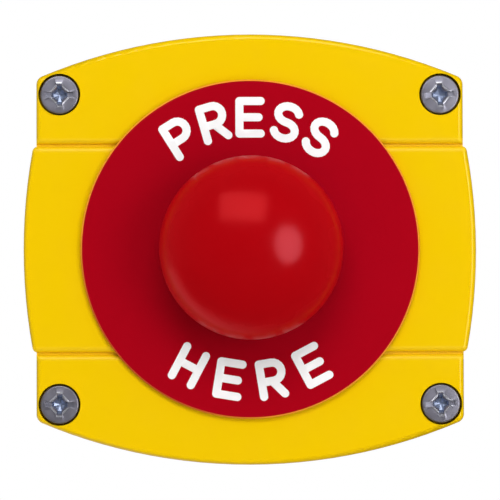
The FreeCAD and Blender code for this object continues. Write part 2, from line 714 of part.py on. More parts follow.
def make_actuator_foot():
    """Bar on the stem's end that reaches both contact plungers."""
    body = body_of("actuator_foot", FOOT_BACK)
    pad(body, "0", "foot_thickness", lambda s: oblongs(s, "foot_length", "foot_width"))
    pad(body, "0", "foot_thickness", lambda s: circles(s, "foot_hub"))
    head, shank = "foot_screw_head / 2 + seat_gap", "foot_screw_thread / 2 + seat_gap"
    sink = "(foot_screw_head - foot_screw_thread) / 2"
    turned(body, [("0", "0"), (head, "0"), (shank, sink), (shank, "foot_thickness"),
                  ("0", "foot_thickness")], cutting=True)


def make_foot_screw():
    body = body_of("foot_screw", FOOT_BACK)
    head, shank = "foot_screw_head / 2", "foot_screw_thread / 2"
    sink = "(foot_screw_head - foot_screw_thread) / 2"
    turned(body, [("0", "0"), (head, "0"), (shank, sink), (shank, "foot_screw_length"),
                  ("0", "foot_screw_length")])
    cut(body, "0", "foot_slot",
        lambda s: oblongs(s, "foot_screw_head - foot_slot", "foot_slot"))


def make_spring(name, wire, coil, turns, low, high, across="0"):
    """Round wire wound between two heights, its ends within them."""
    body = body_of(name, low, across)
    sketch = sketch_on(body, "XZ_Plane")
    circles(sketch, wire, [("%s / 2" % coil, "%s / 2" % wire)])
    feature = body.newObject("PartDesign::AdditiveHelix", name + "_coil")
    feature.Profile = sketch
    feature.ReferenceAxis = (sketch, ["V_Axis"])
    feature.Mode = "height-turns-angle"
    bind(feature, "Height", "%s - %s - %s" % (high, low, wire))
    bind(feature, "Turns", turns)


def make_contact_carrier():
    """Frame behind the nut: a bore on the tube, a window for the foot, and coring pockets."""
    body = body_of("contact_carrier", NUT_BACK)
    back = "-1 * (%s - %s)" % (NUT_BACK, BLOCK_TOP)
    pad(body, back, "0", lambda s: oblongs(s, "carrier_width", "carrier_height"))
    corner = upright_at(value("carrier_width / 2"), value("carrier_height / 2"))
    dress(body, "Fillet", "carrier_corner", corner)
    cut(body, back, "0", lambda s: circles(s, "tube_diameter + 2 * seat_gap"))
    window_front = "-1 * (%s - %s)" % (NUT_BACK, TUBE_END)
    cut(body, back, window_front,
        lambda s: oblongs(s, "carrier_window_x", "carrier_window_y"))
    pocket_y = "(carrier_height / 2 - carrier_rib - carrier_pocket / 2)"
    pocket_x = "((carrier_width - 3 * carrier_rib) / 2)"
    places = [("%d * (%s + carrier_rib) / 2" % (i, pocket_x), "%d * %s" % (j, pocket_y))
              for i in SIDES for j in SIDES]
    cut(body, back, "-1 * carrier_rib", lambda s: oblongs(s, pocket_x, "carrier_pocket", places))


def make_contact_block(name, across):
    """Housing open at the back: a chamber for the moving contact, terminal pockets at both ends."""
    body = body_of(name, BLOCK_TOP, across)
    pad(body, "-1 * contact_depth", "0", lambda s: oblongs(s, "contact_width", "contact_height"))
    chamber = "contact_width - 2 * contact_wall"
    cut(body, "-1 * contact_depth", "-1 * chamber_roof",
        lambda s: oblongs(s, chamber, "chamber_height"))
    cut(body, "-1 * chamber_roof", "0", lambda s: circles(s, "plunger_diameter + 2 * running_gap"))
    strip_top = "-1 * strip_level + strip_thickness"
    length = "(contact_height - chamber_height - 2 * contact_wall) / 2"
    ends = [("0", "%d * (contact_height - %s) / 2" % (j, length)) for j in SIDES]
    cut(body, "-1 * contact_depth", strip_top,
        lambda s: oblongs(s, "terminal_pocket", length, ends))
    walls = [("0", "%d * (chamber_height + contact_wall) / 2" % j) for j in SIDES]
    cut(body, "-1 * strip_level", strip_top,
        lambda s: oblongs(s, "strip_width + 2 * seat_gap", "contact_wall", walls))
    tip = "%s - %s + terminal_length + terminal_gap" % (CLAMP_BACK, BLOCK_TOP)
    cut(body, strip_top, tip,
        lambda s: circles(s, "terminal_thread + 2 * running_gap", TIPS))


def make_block_lid(name, across):
    """Plate that closes the chamber and centres the contact spring."""
    body = body_of(name, "%s - contact_depth" % BLOCK_TOP, across)
    pad(body, "0", "lid_thickness", lambda s: oblongs(
        s, "contact_width - 2 * contact_wall - 2 * lid_gap", "chamber_height - 2 * lid_gap"))
    pad(body, "lid_thickness", "lid_thickness + spring_pin_length",
        lambda s: circles(s, "spring_pin"))


BRIDGE_TOP = "(-1 * strip_level - button_height - contact_gap - button_height)"
BRIDGE_BACK = "(%s - strip_thickness)" % BRIDGE_TOP
LOW_STRIP = "(%s - button_height - travel - contact_gap - button_height)" % BRIDGE_BACK
BUTTONS = [("0", "%d * button_offset" % j) for j in SIDES]


def make_closed_contacts(name, across):
    """Two straight strips whose buttons face the wall: the bridge rests against them."""
    body = body_of(name, BLOCK_TOP, across)
    length = "(strip_end - strip_tip)"
    places = [("0", "%d * (strip_end + strip_tip) / 2" % j) for j in SIDES]
    pad(body, "-1 * strip_level", "-1 * strip_level + strip_thickness",
        lambda s: oblongs(s, "strip_width", length, places))
    pad(body, "-1 * strip_level - button_height", "-1 * strip_level",
        lambda s: circles(s, "button_diameter", BUTTONS))
    cut(body, "-1 * strip_level", "-1 * strip_level + strip_thickness",
        lambda s: circles(s, "terminal_thread + 2 * seat_gap", TIPS))


def make_open_contacts(name, across):
    """Two stepped strips whose buttons face out: the bridge meets them at full stroke."""
    body = body_of(name, BLOCK_TOP, across)
    high, low = "-1 * strip_level", LOW_STRIP
    for hand in SIDES:
        sketch = sketch_on(body, "YZ_Plane", "-1 * strip_width / 2")
        leg = "strip_leg + strip_thickness"
        outline(sketch, [("%d * (%s)" % (hand, y), z) for y, z in (
            ("strip_end", high), ("strip_end", high + " + strip_thickness"),
            ("strip_leg", high + " + strip_thickness"), ("strip_leg", low),
            ("strip_tip", low), ("strip_tip", low + " - strip_thickness"),
            (leg, low + " - strip_thickness"), (leg, high))])
        feature = body.newObject("PartDesign::Pad", name + "_strip")
        feature.Profile = sketch
        bind(feature, "Length", "strip_width")
    pad(body, low, low + " + button_height", lambda s: circles(s, "button_diameter", BUTTONS))
    cut(body, high, high + " + strip_thickness",
        lambda s: circles(s, "terminal_thread + 2 * seat_gap", TIPS))


def make_bridge(name, across, hand):
    """Moving bridge with its two buttons: hand 1 has them in front, -1 behind."""
    body = body_of(name, BLOCK_TOP, across)
    pad(body, BRIDGE_BACK, BRIDGE_TOP, lambda s: oblongs(s, "strip_width", "bridge_length"))
    low, high = (BRIDGE_TOP, BRIDGE_TOP + " + button_height") if hand > 0 else (
        BRIDGE_BACK + " - button_height", BRIDGE_BACK)
    pad(body, low, high, lambda s: circles(s, "button_diameter", BUTTONS))


CAGE_TOP = "(-1 * plunger_neck)"
CAGE_BACK = "(-1 * plunger_neck - cage_depth)"


def make_contact_plunger(name, across):
    """Round plunger with a cage that carries the bridge and a pin for its spring."""
    body = body_of(name, BLOCK_TOP, across)
    pad(body, CAGE_TOP, "plunger_reach", lambda s: circles(s, "plunger_diameter"))
    pad(body, CAGE_BACK, CAGE_TOP, lambda s: oblongs(s, "cage_width", "cage_height"))
    pad(body, CAGE_BACK + " - spring_pin_length", CAGE_BACK, lambda s: circles(s, "spring_pin"))
    dress(body, "Fillet", "plunger_rounding", level_at("plunger_reach"))
    cut(body, BRIDGE_BACK + " - bridge_gap", BRIDGE_TOP + " + bridge_gap",
        lambda s: oblongs(s, "strip_width + 2 * seat_gap", "cage_height"))


def make_terminal_screws():
    body = body_of("terminal_screws", CLAMP_BACK)
    pad(body, "0", "terminal_length", lambda s: circles(s, "terminal_thread", TERMINALS))
    pad(body, "-1 * terminal_head_height", "0", lambda s: circles(s, "terminal_head", TERMINALS))
    cut(body, "-1 * terminal_head_height", "-1 * terminal_head_height / 2",
        lambda s: oblongs(s, "terminal_head + terminal_slot", "terminal_slot", TERMINALS))


def make_wire_clamps():
    """Plates under the terminal screws, with lips that keep a wire in."""
    body = body_of("wire_clamps", CLAMP_BACK)
    pad(body, "0", "clamp_thickness",
        lambda s: oblongs(s, "clamp_width", "clamp_height", TERMINALS))
    lips = [("%s + %d * (clamp_width - clamp_thickness) / 2" % (x, i), y)
            for x, y in TERMINALS for i in SIDES]
    pad(body, "clamp_thickness", "clamp_thickness + clamp_lip",
        lambda s: oblongs(s, "clamp_thickness", "clamp_height", lips))
    cut(body, "0", "clamp_thickness",
        lambda s: circles(s, "terminal_thread + 2 * running_gap", TERMINALS))


make_cover()
make_base()
make_cover_gasket()
make_cover_screws()
make_screw_seals()
make_screw_inserts()
make_legend_disc()
make_flange_seal()
make_operator_bushing()
make_stem_seal()
make_lock_nut()
make_mushroom_head()
make_plunger_stem()
make_retaining_clip()
make_actuator_foot()
make_foot_screw()
make_spring("return_spring", "return_wire", "return_coil", "return_turns", WELL_FLOOR, HUB_END)
make_contact_carrier()
for side, offset in (("left", "-1 * block_offset"), ("right", "block_offset")):
    make_contact_block("contact_block_" + side, offset)
    make_block_lid("block_lid_" + side, offset)
    make_contact_plunger("contact_plunger_" + side, offset)
    make_spring("contact_spring_" + side, "contact_wire", "contact_coil", "contact_turns",
                "(%s - contact_depth + lid_thickness)" % BLOCK_TOP,
                "(%s + %s)" % (BLOCK_TOP, CAGE_BACK), offset)
make_closed_contacts("fixed_contacts_left", "-1 * block_offset")
make_open_contacts("fixed_contacts_right", "block_offset")
make_bridge("contact_bridge_left", "-1 * block_offset", 1)
make_bridge("contact_bridge_right", "block_offset", -1)
make_terminal_screws()
make_wire_clamps()
doc.recompute()

for thing in doc.Objects:
    if "Invalid" in thing.State or "Error" in thing.State:
        raise RuntimeError("%s did not build: %s" % (thing.Name, thing.State))
bodies = [thing for thing in doc.Objects if thing.isDerivedFrom("PartDesign::Body")]
for body in bodies:
    if body.Shape.isNull() or not body.Shape.isValid():
        raise RuntimeError("%s has no valid shape" % body.Label)
os.makedirs("parts", exist_ok=True)
for body in bodies:
    body.Shape.exportStep("parts/%s.step" % body.Label)
    print(body.Label, len(body.Shape.Solids), round(body.Shape.Volume, 1))
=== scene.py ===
import json
import math

import bmesh
import bpy
from bpy.props import FloatProperty, FloatVectorProperty, IntProperty, PointerProperty
from mathutils import Matrix, Vector


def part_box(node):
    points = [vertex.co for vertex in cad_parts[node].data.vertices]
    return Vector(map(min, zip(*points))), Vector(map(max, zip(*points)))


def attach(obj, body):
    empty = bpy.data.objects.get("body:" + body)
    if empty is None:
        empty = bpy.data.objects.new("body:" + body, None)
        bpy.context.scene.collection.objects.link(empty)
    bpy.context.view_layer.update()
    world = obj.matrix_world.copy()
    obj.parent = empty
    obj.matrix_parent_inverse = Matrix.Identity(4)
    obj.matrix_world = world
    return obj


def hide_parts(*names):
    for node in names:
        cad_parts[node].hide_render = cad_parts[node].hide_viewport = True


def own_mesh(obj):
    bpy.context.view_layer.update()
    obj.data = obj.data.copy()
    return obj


bl_info = {
    "name": "Mushroom push button",
    "version": (1, 0, 0),
    "blender": (4, 5, 0),
    "location": "View3D > Sidebar > Push button",
    "description": "Finishes, dome, print, screws, springs and studio of a mushroom push button",
    "category": "Object",
}

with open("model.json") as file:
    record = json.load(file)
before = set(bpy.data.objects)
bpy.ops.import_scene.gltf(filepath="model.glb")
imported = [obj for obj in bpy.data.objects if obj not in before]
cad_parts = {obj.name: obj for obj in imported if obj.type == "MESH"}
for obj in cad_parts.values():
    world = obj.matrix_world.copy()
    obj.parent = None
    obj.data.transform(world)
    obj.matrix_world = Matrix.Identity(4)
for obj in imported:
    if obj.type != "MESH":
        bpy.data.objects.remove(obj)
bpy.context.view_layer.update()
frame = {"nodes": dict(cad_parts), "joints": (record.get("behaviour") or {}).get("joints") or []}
MM = 0.001
CLOUDS = (0.3, 0.7)     # where nearly all values of a noise texture lie
WHITE = (1, 1, 1, 1)
MIX_SHARE, MIX_FIRST, MIX_SECOND, MIX_RESULT = 0, 6, 7, 2     # a Mix node's sockets for colours


# Places read from the frame

def low(node):
    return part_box(node)[0]


def high(node):
    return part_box(node)[1]


def middle(node):
    return (low(node) + high(node)) / 2


def across(node):
    """Diameter of a round node seen from the front."""
    return high(node).x - low(node).x


def depth(node):
    """Extent of a node out of the wall."""
    return high(node).y - low(node).y


# What a user would change

class ButtonSizes(bpy.types.PropertyGroup):
    groove_rise: FloatProperty(
        name="Groove height", description="From the button's axis to the grooves in the cover",
        default=23.05 * MM, unit="LENGTH")
    groove_width: FloatProperty(
        name="Groove width", description="Width of the softer gloss along each groove",
        default=2.4 * MM, unit="LENGTH")
    crown_radius: FloatProperty(
        name="Crown radius", description="Radius of the dome's crown",
        default=26 * MM, unit="LENGTH")
    shoulder_radius: FloatProperty(
        name="Shoulder radius", description="Radius between crown and rim",
        default=11 * MM, unit="LENGTH")
    rim_height: FloatProperty(
        name="Rim height", description="Straight rim below the shoulder",
        default=2.4 * MM, unit="LENGTH")
    head_wall: FloatProperty(
        name="Head wall", description="Wall of the hollow head",
        default=2.6 * MM, unit="LENGTH")
    hub_diameter: FloatProperty(
        name="Hub diameter", description="Hub inside the head",
        default=16.4 * MM, unit="LENGTH")
    hub_stand: FloatProperty(
        name="Hub stand", description="How far the hub stands out behind the rim",
        default=0.5 * MM, unit="LENGTH")
    hub_bore: FloatProperty(
        name="Hub bore", description="Diameter of the stem's seat in the hub",
        default=8.1 * MM, unit="LENGTH")
    hub_bore_top: FloatProperty(
        name="Hub bore top", description="Floor of the stem's seat above the rim",
        default=8.5 * MM, unit="LENGTH")
    rib_count: IntProperty(
        name="Ribs", description="Ribs between hub and wall", default=6, min=3)
    rib_width: FloatProperty(
        name="Rib width", description="Thickness of each rib",
        default=1.4 * MM, unit="LENGTH")
    rib_start: FloatProperty(
        name="Rib start", description="Lower edge of the ribs above the rim",
        default=4.6 * MM, unit="LENGTH")
    rib_end: FloatProperty(
        name="Rib end", description="Upper edge of the ribs above the rim",
        default=7.9 * MM, unit="LENGTH")
    screw_head: FloatProperty(
        name="Screw head", description="Diameter of the cover screws' heads",
        default=8.5 * MM, unit="LENGTH")
    screw_head_height: FloatProperty(
        name="Screw head height", description="Height of the cover screws' heads",
        default=3.3 * MM, unit="LENGTH")
    screw_thread: FloatProperty(
        name="Screw thread", description="Outside of the cover screws' thread",
        default=5 * MM, unit="LENGTH")
    thread_height: FloatProperty(
        name="Thread height", description="Height of the thread over its core",
        default=0.3 * MM, unit="LENGTH")
    thread_pitch: FloatProperty(
        name="Thread pitch", description="From one turn of the thread to the next",
        default=0.8 * MM, unit="LENGTH")
    slot_width: FloatProperty(
        name="Slot width", description="Driver slot across the head",
        default=1.2 * MM, unit="LENGTH")
    slot_depth: FloatProperty(
        name="Slot depth", description="Depth of the driver slot",
        default=0.3 * MM, unit="LENGTH")
    cross_depth: FloatProperty(
        name="Cross depth", description="Depth of the cross recess",
        default=1.9 * MM, unit="LENGTH")
    letter_inner: FloatProperty(
        name="Print inside", description="Inner radius of the words, at the strokes' middle",
        default=25.5 * MM, unit="LENGTH")
    letter_outer: FloatProperty(
        name="Print outside", description="Outer radius of the words, at the strokes' middle",
        default=32.7 * MM, unit="LENGTH")
    letter_width: FloatProperty(
        name="Letter width", description="Width of a letter, at the strokes' middle",
        default=4.7 * MM, unit="LENGTH")
    letter_stroke: FloatProperty(
        name="Stroke", description="Width of the printed strokes",
        default=1.8 * MM, unit="LENGTH")
    print_height: FloatProperty(
        name="Print height", description="How far the print stands above the disc",
        default=0.06 * MM, unit="LENGTH")
    return_wire: FloatProperty(
        name="Return spring wire", description="Diameter of the return spring's wire",
        default=1.3 * MM, unit="LENGTH")
    contact_wire: FloatProperty(
        name="Contact spring wire", description="Diameter of the contact springs' wire",
        default=0.5 * MM, unit="LENGTH")
    spring_turns: FloatProperty(
        name="Spring turns", description="Turns of each spring, the flat ends too", default=5.0)


class ButtonColours(bpy.types.PropertyGroup):
    cover: FloatVectorProperty(
        name="Cover", description="Signal yellow of the cover", subtype="COLOR",
        size=3, min=0, max=1, default=(0.91, 0.585, 0.0))
    base: FloatVectorProperty(
        name="Base", description="Dark grey of the base", subtype="COLOR",
        size=3, min=0, max=1, default=(0.10, 0.102, 0.11))
    head: FloatVectorProperty(
        name="Head", description="Red of the dome", subtype="COLOR",
        size=3, min=0, max=1, default=(0.41, 0.0015, 0.0042))
    disc: FloatVectorProperty(
        name="Disc", description="Red of the legend disc", subtype="COLOR",
        size=3, min=0, max=1, default=(0.375, 0.0015, 0.008))
    disc_gloss: FloatVectorProperty(
        name="Disc gloss", description="Tint of the legend disc's gloss", subtype="COLOR",
        size=3, min=0, max=1, default=(1.0, 0.0, 0.05))
    # Painted highlight along the legend disc's rounded edge.
    disc_edge_highlight: FloatVectorProperty(
        name="Disc edge", description="Line along the legend disc's rounded edge", subtype="COLOR",
        size=3, min=0, max=1, default=(0.90, 0.34, 0.03))
    ink: FloatVectorProperty(
        name="Print", description="White of the printed words", subtype="COLOR",
        size=3, min=0, max=1, default=(0.96, 0.96, 0.96))
    plating: FloatVectorProperty(
        name="Plating", description="Bluish zinc of the screws", subtype="COLOR",
        size=3, min=0, max=1, default=(0.225, 0.22, 0.27))
    # Painted shade tone down in the screws' recesses.
    recess: FloatVectorProperty(
        name="Recess", description="Zinc down in the screws' recesses", subtype="COLOR",
        size=3, min=0, max=1, default=(0.28, 0.33, 0.46))
    # Burnish on the ridge, painted lighter as a highlight so that it glints.
    burnish_and_glint: FloatVectorProperty(
        name="Burnish", description="Zinc on the ridge that the driver raised", subtype="COLOR",
        size=3, min=0, max=1, default=(0.55, 0.56, 0.62))
    steel: FloatVectorProperty(
        name="Spring steel", description="Springs and clip", subtype="COLOR",
        size=3, min=0, max=1, default=(0.42, 0.42, 0.44))
    brass: FloatVectorProperty(
        name="Brass", description="Inserts", subtype="COLOR",
        size=3, min=0, max=1, default=(0.70, 0.48, 0.17))
    contact: FloatVectorProperty(
        name="Contact brass", description="Contact strips and bridges", subtype="COLOR",
        size=3, min=0, max=1, default=(0.74, 0.55, 0.26))
    rubber: FloatVectorProperty(
        name="Rubber", description="Gasket and seals", subtype="COLOR",
        size=3, min=0, max=1, default=(0.012, 0.012, 0.012))
    black: FloatVectorProperty(
        name="Black plastic", description="Bushing, foot and carrier", subtype="COLOR",
        size=3, min=0, max=1, default=(0.012, 0.012, 0.013))
    white: FloatVectorProperty(
        name="White plastic", description="Stem and contact plungers", subtype="COLOR",
        size=3, min=0, max=1, default=(0.62, 0.62, 0.60))
    block: FloatVectorProperty(
        name="Contact blocks", description="Grey of the contact blocks", subtype="COLOR",
        size=3, min=0, max=1, default=(0.045, 0.048, 0.055))
    lid: FloatVectorProperty(
        name="Block lids", description="Black of the contact blocks' lids", subtype="COLOR",
        size=3, min=0, max=1, default=(0.015, 0.015, 0.016))


class StudioSettings(bpy.types.PropertyGroup):
    camera_distance: FloatProperty(
        name="Camera distance", description="From the legend disc to the camera",
        default=0.65, unit="LENGTH")
    picture_width: FloatProperty(
        name="Picture width", description="What the picture spans at the legend disc",
        default=110.4 * MM, unit="LENGTH")
    camera_left: FloatProperty(
        name="Camera to the left", description="Angle of the camera to the left of straight on",
        default=math.radians(1.0), subtype="ANGLE")
    camera_below: FloatProperty(
        name="Camera below", description="Angle of the camera below straight on",
        default=math.radians(1.5), subtype="ANGLE")
    camera_roll: FloatProperty(
        name="Camera roll", description="Turn of the picture, clockwise",
        default=math.radians(-0.14), subtype="ANGLE")
    shift_across: FloatProperty(
        name="Shift across", description="Camera shift to the right, as a share of the picture",
        default=-0.0007)
    shift_up: FloatProperty(
        name="Shift up", description="Camera shift upwards, as a share of the picture",
        default=-0.0022)
    key_power: FloatProperty(
        name="Key light", description="Radiance of the upper light", default=5.9)
    right_power: FloatProperty(
        name="Right light", description="Radiance of the light at the right", default=3.0)
    upper_shine: FloatProperty(
        name="Upper softbox", description="Radiance of the upper softbox that shows in the dome",
        default=5.4)
    right_shine: FloatProperty(
        name="Right softbox", description="Radiance of the right softbox that shows in the screws",
        default=6.6)
    dome_shine: FloatProperty(
        name="Dome softbox", description="Radiance of the round softbox that shows in the dome",
        default=18.5)
    dome_tint: FloatVectorProperty(
        name="Dome softbox tint", description="Bluish, so that it looks pink in the red dome",
        subtype="COLOR", size=3, min=0, max=1, default=(0.29, 0.87, 1.0))
    edge_shine: FloatProperty(
        name="Edge softbox", description="Radiance of the low softbox seen in the dome's edge",
        default=2.2)
    edge_tint: FloatVectorProperty(
        name="Edge softbox tint", description="Bluish, so that it looks pink in the red dome",
        subtype="COLOR", size=3, min=0, max=1, default=(0.45, 0.9, 1.0))
    low_shine: FloatProperty(
        name="Low shine", description="Glow of the floor's left that shows in the dome's edge",
        default=2.2)
    front_fill: FloatProperty(
        name="Front fill", description="Even light from the front", default=0.42)
    side_fill: FloatProperty(
        name="Side fill", description="Even light from the sides", default=1.3)
    back_fill: FloatProperty(
        name="Back fill", description="Even light from behind", default=0.42)


# Node trees

class Tree:
    """Short way to add nodes and link them. A dict key is a socket's name, and a socket or a value
    fills it."""

    def __init__(self, tree):
        self.tree = tree

    def join(self, source, socket):
        self.tree.links.new(source, socket)

    def fill(self, socket, given):
        if isinstance(given, bpy.types.NodeSocket):
            self.join(given, socket)
        else:
            socket.default_value = given

    def add(self, kind, inputs=(), **settings):
        node = self.tree.nodes.new(kind)
        for name, setting in settings.items():
            setattr(node, name, setting)
        for name, given in dict(inputs).items():
            self.fill(node.inputs[name], given)
        return node

    def math(self, operation, *values):
        node = self.add("ShaderNodeMath", operation=operation)
        for socket, given in zip(node.inputs, values):
            self.fill(socket, given)
        return node.outputs[0]

    def ranged(self, number, start, end, first=0.0, last=1.0):
        """A number that goes from first to last while the given one goes from start to end."""
        return self.add("ShaderNodeMapRange", {
            "Value": number, "From Min": start, "From Max": end,
            "To Min": first, "To Max": last}).outputs["Result"]

    def parts(self, vector):
        """The X, Y and Z of a vector."""
        return self.add("ShaderNodeSeparateXYZ", {"Vector": vector}).outputs

    def vector(self, **parts):
        return self.add("ShaderNodeCombineXYZ", parts).outputs["Vector"]


def rgba(colour):
    return (*colour, 1.0)


def shaded(colour, factor):
    return (*[min(1.0, part * factor) for part in colour], 1.0)


def surface(name):
    """A new material with its tree, its shader and its object coordinates."""
    material = bpy.data.materials.new(name)
    material.use_nodes = True
    tree = Tree(material.node_tree)
    shader = material.node_tree.nodes["Principled BSDF"]
    place = tree.add("ShaderNodeTexCoord").outputs["Object"]
    return material, tree, shader, place


def mottled(tree, place, colour, scale, spread):
    """The colour with slow, faint lighter and darker clouds."""
    cloud = tree.add("ShaderNodeTexNoise", {"Vector": place, "Scale": scale, "Detail": 3.0})
    ramp = tree.add("ShaderNodeValToRGB", {"Fac": cloud.outputs["Fac"]})
    for stop, at, factor in zip(ramp.color_ramp.elements, CLOUDS, (1 - spread, 1 + spread)):
        stop.position = at
        stop.color = shaded(colour, factor)
    return ramp.outputs["Color"]


def grain(tree, place, size, height):
    """Fine moulded texture: a bump of the given size and height in metres."""
    fine = tree.add("ShaderNodeTexNoise", {"Vector": place, "Scale": 1 / size, "Detail": 2.0})
    bump = tree.add("ShaderNodeBump", {
        "Height": fine.outputs["Fac"], "Distance": height, "Strength": 1.0})
    return bump.outputs["Normal"]


def uneven(tree, place, scale, smallest, largest):
    """A number that wanders over the surface, for roughness."""
    cloud = tree.add("ShaderNodeTexNoise", {"Vector": place, "Scale": scale, "Detail": 4.0})
    return tree.ranged(cloud.outputs["Fac"], *CLOUDS, smallest, largest)


def plastic(name, colour, rough, bump=4e-6, bump_size=0.35 * MM, spread=0.03, tint=None,
            level=0.5, pearl=0.0):
    """Moulded plastic with a fine grain and faint flow clouds. pearl gives it coloured gloss."""
    material, tree, shader, place = surface(name)
    tree.join(mottled(tree, place, colour, scale=45, spread=spread), shader.inputs["Base Color"])
    tree.join(uneven(tree, place, scale=160, smallest=rough - 0.03, largest=rough + 0.03),
              shader.inputs["Roughness"])
    tree.join(grain(tree, place, bump_size, bump), shader.inputs["Normal"])
    shader.inputs["Specular IOR Level"].default_value = level
    shader.inputs["Metallic"].default_value = pearl
    if tint:
        shader.inputs["Specular Tint"].default_value = rgba(tint)
    return material


def outward(tree, place, start, end, first=0.0, last=1.0):
    """A number that changes from first to last between two radii about the button's axis."""
    parts = tree.parts(place)
    radius = tree.math("SQRT", tree.math(
        "ADD", tree.math("POWER", parts["X"], 2.0), tree.math("POWER", parts["Z"], 2.0)))
    return tree.ranged(radius, start, end, first, last)


def restain(material, share, colour):
    """Mix another colour over a finished material's own colour."""
    tree = Tree(material.node_tree)
    base = material.node_tree.nodes["Principled BSDF"].inputs["Base Color"]
    mixed = tree.add("ShaderNodeMix", data_type="RGBA", blend_type="MIX")
    tree.join(share, mixed.inputs[MIX_SHARE])
    tree.join(base.links[0].from_socket, mixed.inputs[MIX_FIRST])
    mixed.inputs[MIX_SECOND].default_value = rgba(colour)
    tree.join(mixed.outputs[MIX_RESULT], base)


def roughen(material, extra):
    """Add to a finished material's roughness a number that varies over its surface."""
    tree = Tree(material.node_tree)
    roughness = material.node_tree.nodes["Principled BSDF"].inputs["Roughness"]
    tree.join(tree.math("ADD", roughness.links[0].from_socket, extra), roughness)


def painted(material):
    """The node tree and the object coordinates of a finished material."""
    tree = Tree(material.node_tree)
    return tree, tree.add("ShaderNodeTexCoord").outputs["Object"]


def rubber(name, colour):
    """Matt rubber with a powdery bloom."""
    material, tree, shader, place = surface(name)
    tree.join(mottled(tree, place, colour, scale=260, spread=0.25), shader.inputs["Base Color"])
    tree.join(uneven(tree, place, scale=300, smallest=0.6, largest=0.75),
              shader.inputs["Roughness"])
    tree.join(grain(tree, place, size=0.15 * MM, height=8e-6), shader.inputs["Normal"])
    return material


def metal(name, colour, rough, stretch=(1, 1, 1), metallic=1.0):
    """Plated or drawn metal: cloudy gloss, and fine lines across the axes of large stretch."""
    material, tree, shader, place = surface(name)
    drawn = tree.add("ShaderNodeMapping", {"Vector": place, "Scale": stretch})
    tree.join(mottled(tree, place, colour, scale=420, spread=0.10), shader.inputs["Base Color"])
    tree.join(uneven(tree, place, scale=600, smallest=rough - 0.07, largest=rough + 0.09),
              shader.inputs["Roughness"])
    tree.join(grain(tree, drawn.outputs["Vector"], size=0.12 * MM, height=3e-6),
              shader.inputs["Normal"])
    shader.inputs["Metallic"].default_value = metallic
    return material


def finish(node, material):
    """Give a CAD node its finish."""
    data = frame["nodes"][node].data
    data.materials.clear()
    data.materials.append(material)


# Meshes

def link(name, data):
    thing = bpy.data.objects.new(name, data)
    bpy.context.scene.collection.objects.link(thing)
    return thing


def smooth(thing, angle=math.radians(35)):
    """Soft shading but for edges sharper than the angle."""
    data = thing.data
    data.shade_smooth()
    data.set_sharp_from_angle(angle=angle)


def made_plain(thing, name):
    """The evaluated object as a plain mesh object under its final name."""
    bpy.context.view_layer.update()
    depsgraph = bpy.context.evaluated_depsgraph_get()
    mesh = bpy.data.meshes.new_from_object(thing.evaluated_get(depsgraph), depsgraph=depsgraph)
    bpy.data.objects.remove(thing)
    mesh.name = name
    return link(name, mesh)


def lathe(profile, steps, name):
    """A profile of (radius, height) turned about Z; points with radius 0 close the ends."""
    shape = bmesh.new()
    rings = []
    for radius, height in profile:
        if radius < 1e-9:
            rings.append([shape.verts.new((0, 0, height))])
            continue
        rings.append([shape.verts.new((radius * math.cos(turn), radius * math.sin(turn), height))
                      for turn in (2 * math.pi * k / steps for k in range(steps))])
    for first, second in zip(rings, rings[1:]):
        for k in range(steps):
            following = (k + 1) % steps
            corners = []
            for vert in (first[k % len(first)], first[following % len(first)],
                         second[following % len(second)], second[k % len(second)]):
                if vert not in corners:
                    corners.append(vert)
            if len(corners) > 2:
                shape.faces.new(corners)
    bmesh.ops.recalc_face_normals(shape, faces=shape.faces)
    mesh = bpy.data.meshes.new(name)
    shape.to_mesh(mesh)
    shape.free()
    return mesh


def joined_mesh(name, parts):
    """One mesh that holds all the given ones."""
    whole = bmesh.new()
    for part in parts:
        whole.from_mesh(part)
    mesh = bpy.data.meshes.new(name)
    whole.to_mesh(mesh)
    whole.free()
    return mesh


def arc(centre, radius, start, end, steps):
    """Points of an arc between two angles in degrees. radius may be a pair for an ellipse."""
    wide, tall = radius if isinstance(radius, tuple) else (radius, radius)
    turns = [math.radians(start + (end - start) * k / steps) for k in range(steps + 1)]
    return [(centre[0] + wide * math.cos(t), centre[1] + tall * math.sin(t)) for t in turns]


def face_front(mesh, out):
    """Stand a mesh modelled with z out of the wall at its place in front of the wall."""
    mesh.transform(Matrix.Translation((0, out, 0)) @ Matrix.Rotation(math.radians(90), 4, "X"))


# Geometry nodes

def geometry_tree(name, sockets):
    """A geometry node group with a geometry in and out and the named inputs."""
    group = bpy.data.node_groups.new(name, "GeometryNodeTree")
    group.interface.new_socket("Geometry", in_out="INPUT", socket_type="NodeSocketGeometry")
    for label, kind, default in sockets:
        socket = group.interface.new_socket(
            label, in_out="INPUT", socket_type="NodeSocket" + kind)
        if default is not None:
            socket.default_value = default
    group.interface.new_socket("Geometry", in_out="OUTPUT", socket_type="NodeSocketGeometry")
    tree = Tree(group)
    start = group.nodes.new("NodeGroupInput")
    end = group.nodes.new("NodeGroupOutput")
    return group, tree, start.outputs, end.inputs["Geometry"]


def dressed(tree, geometry, material, result):
    """The end of every tree: give the geometry its material and hand it out."""
    piece = tree.add("GeometryNodeSetMaterial", {"Geometry": geometry, "Material": material})
    tree.join(piece.outputs["Geometry"], result)


def run_tree(thing, group, values, name):
    """Run a node group on an object, with its inputs set by identifier, and keep the plain mesh."""
    modifier = thing.modifiers.new("Nodes", "NODES")
    modifier.node_group = group
    for item in group.interface.items_tree:
        if item.in_out == "INPUT" and item.name in values:
            modifier[item.identifier] = values[item.name]
    return made_plain(thing, name)


def point_cloud(name, places):
    """A mesh of loose points for a tree to place things on."""
    mesh = bpy.data.meshes.new(name)
    mesh.from_pydata([tuple(place) for place in places], [], [])
    return link(name, mesh)


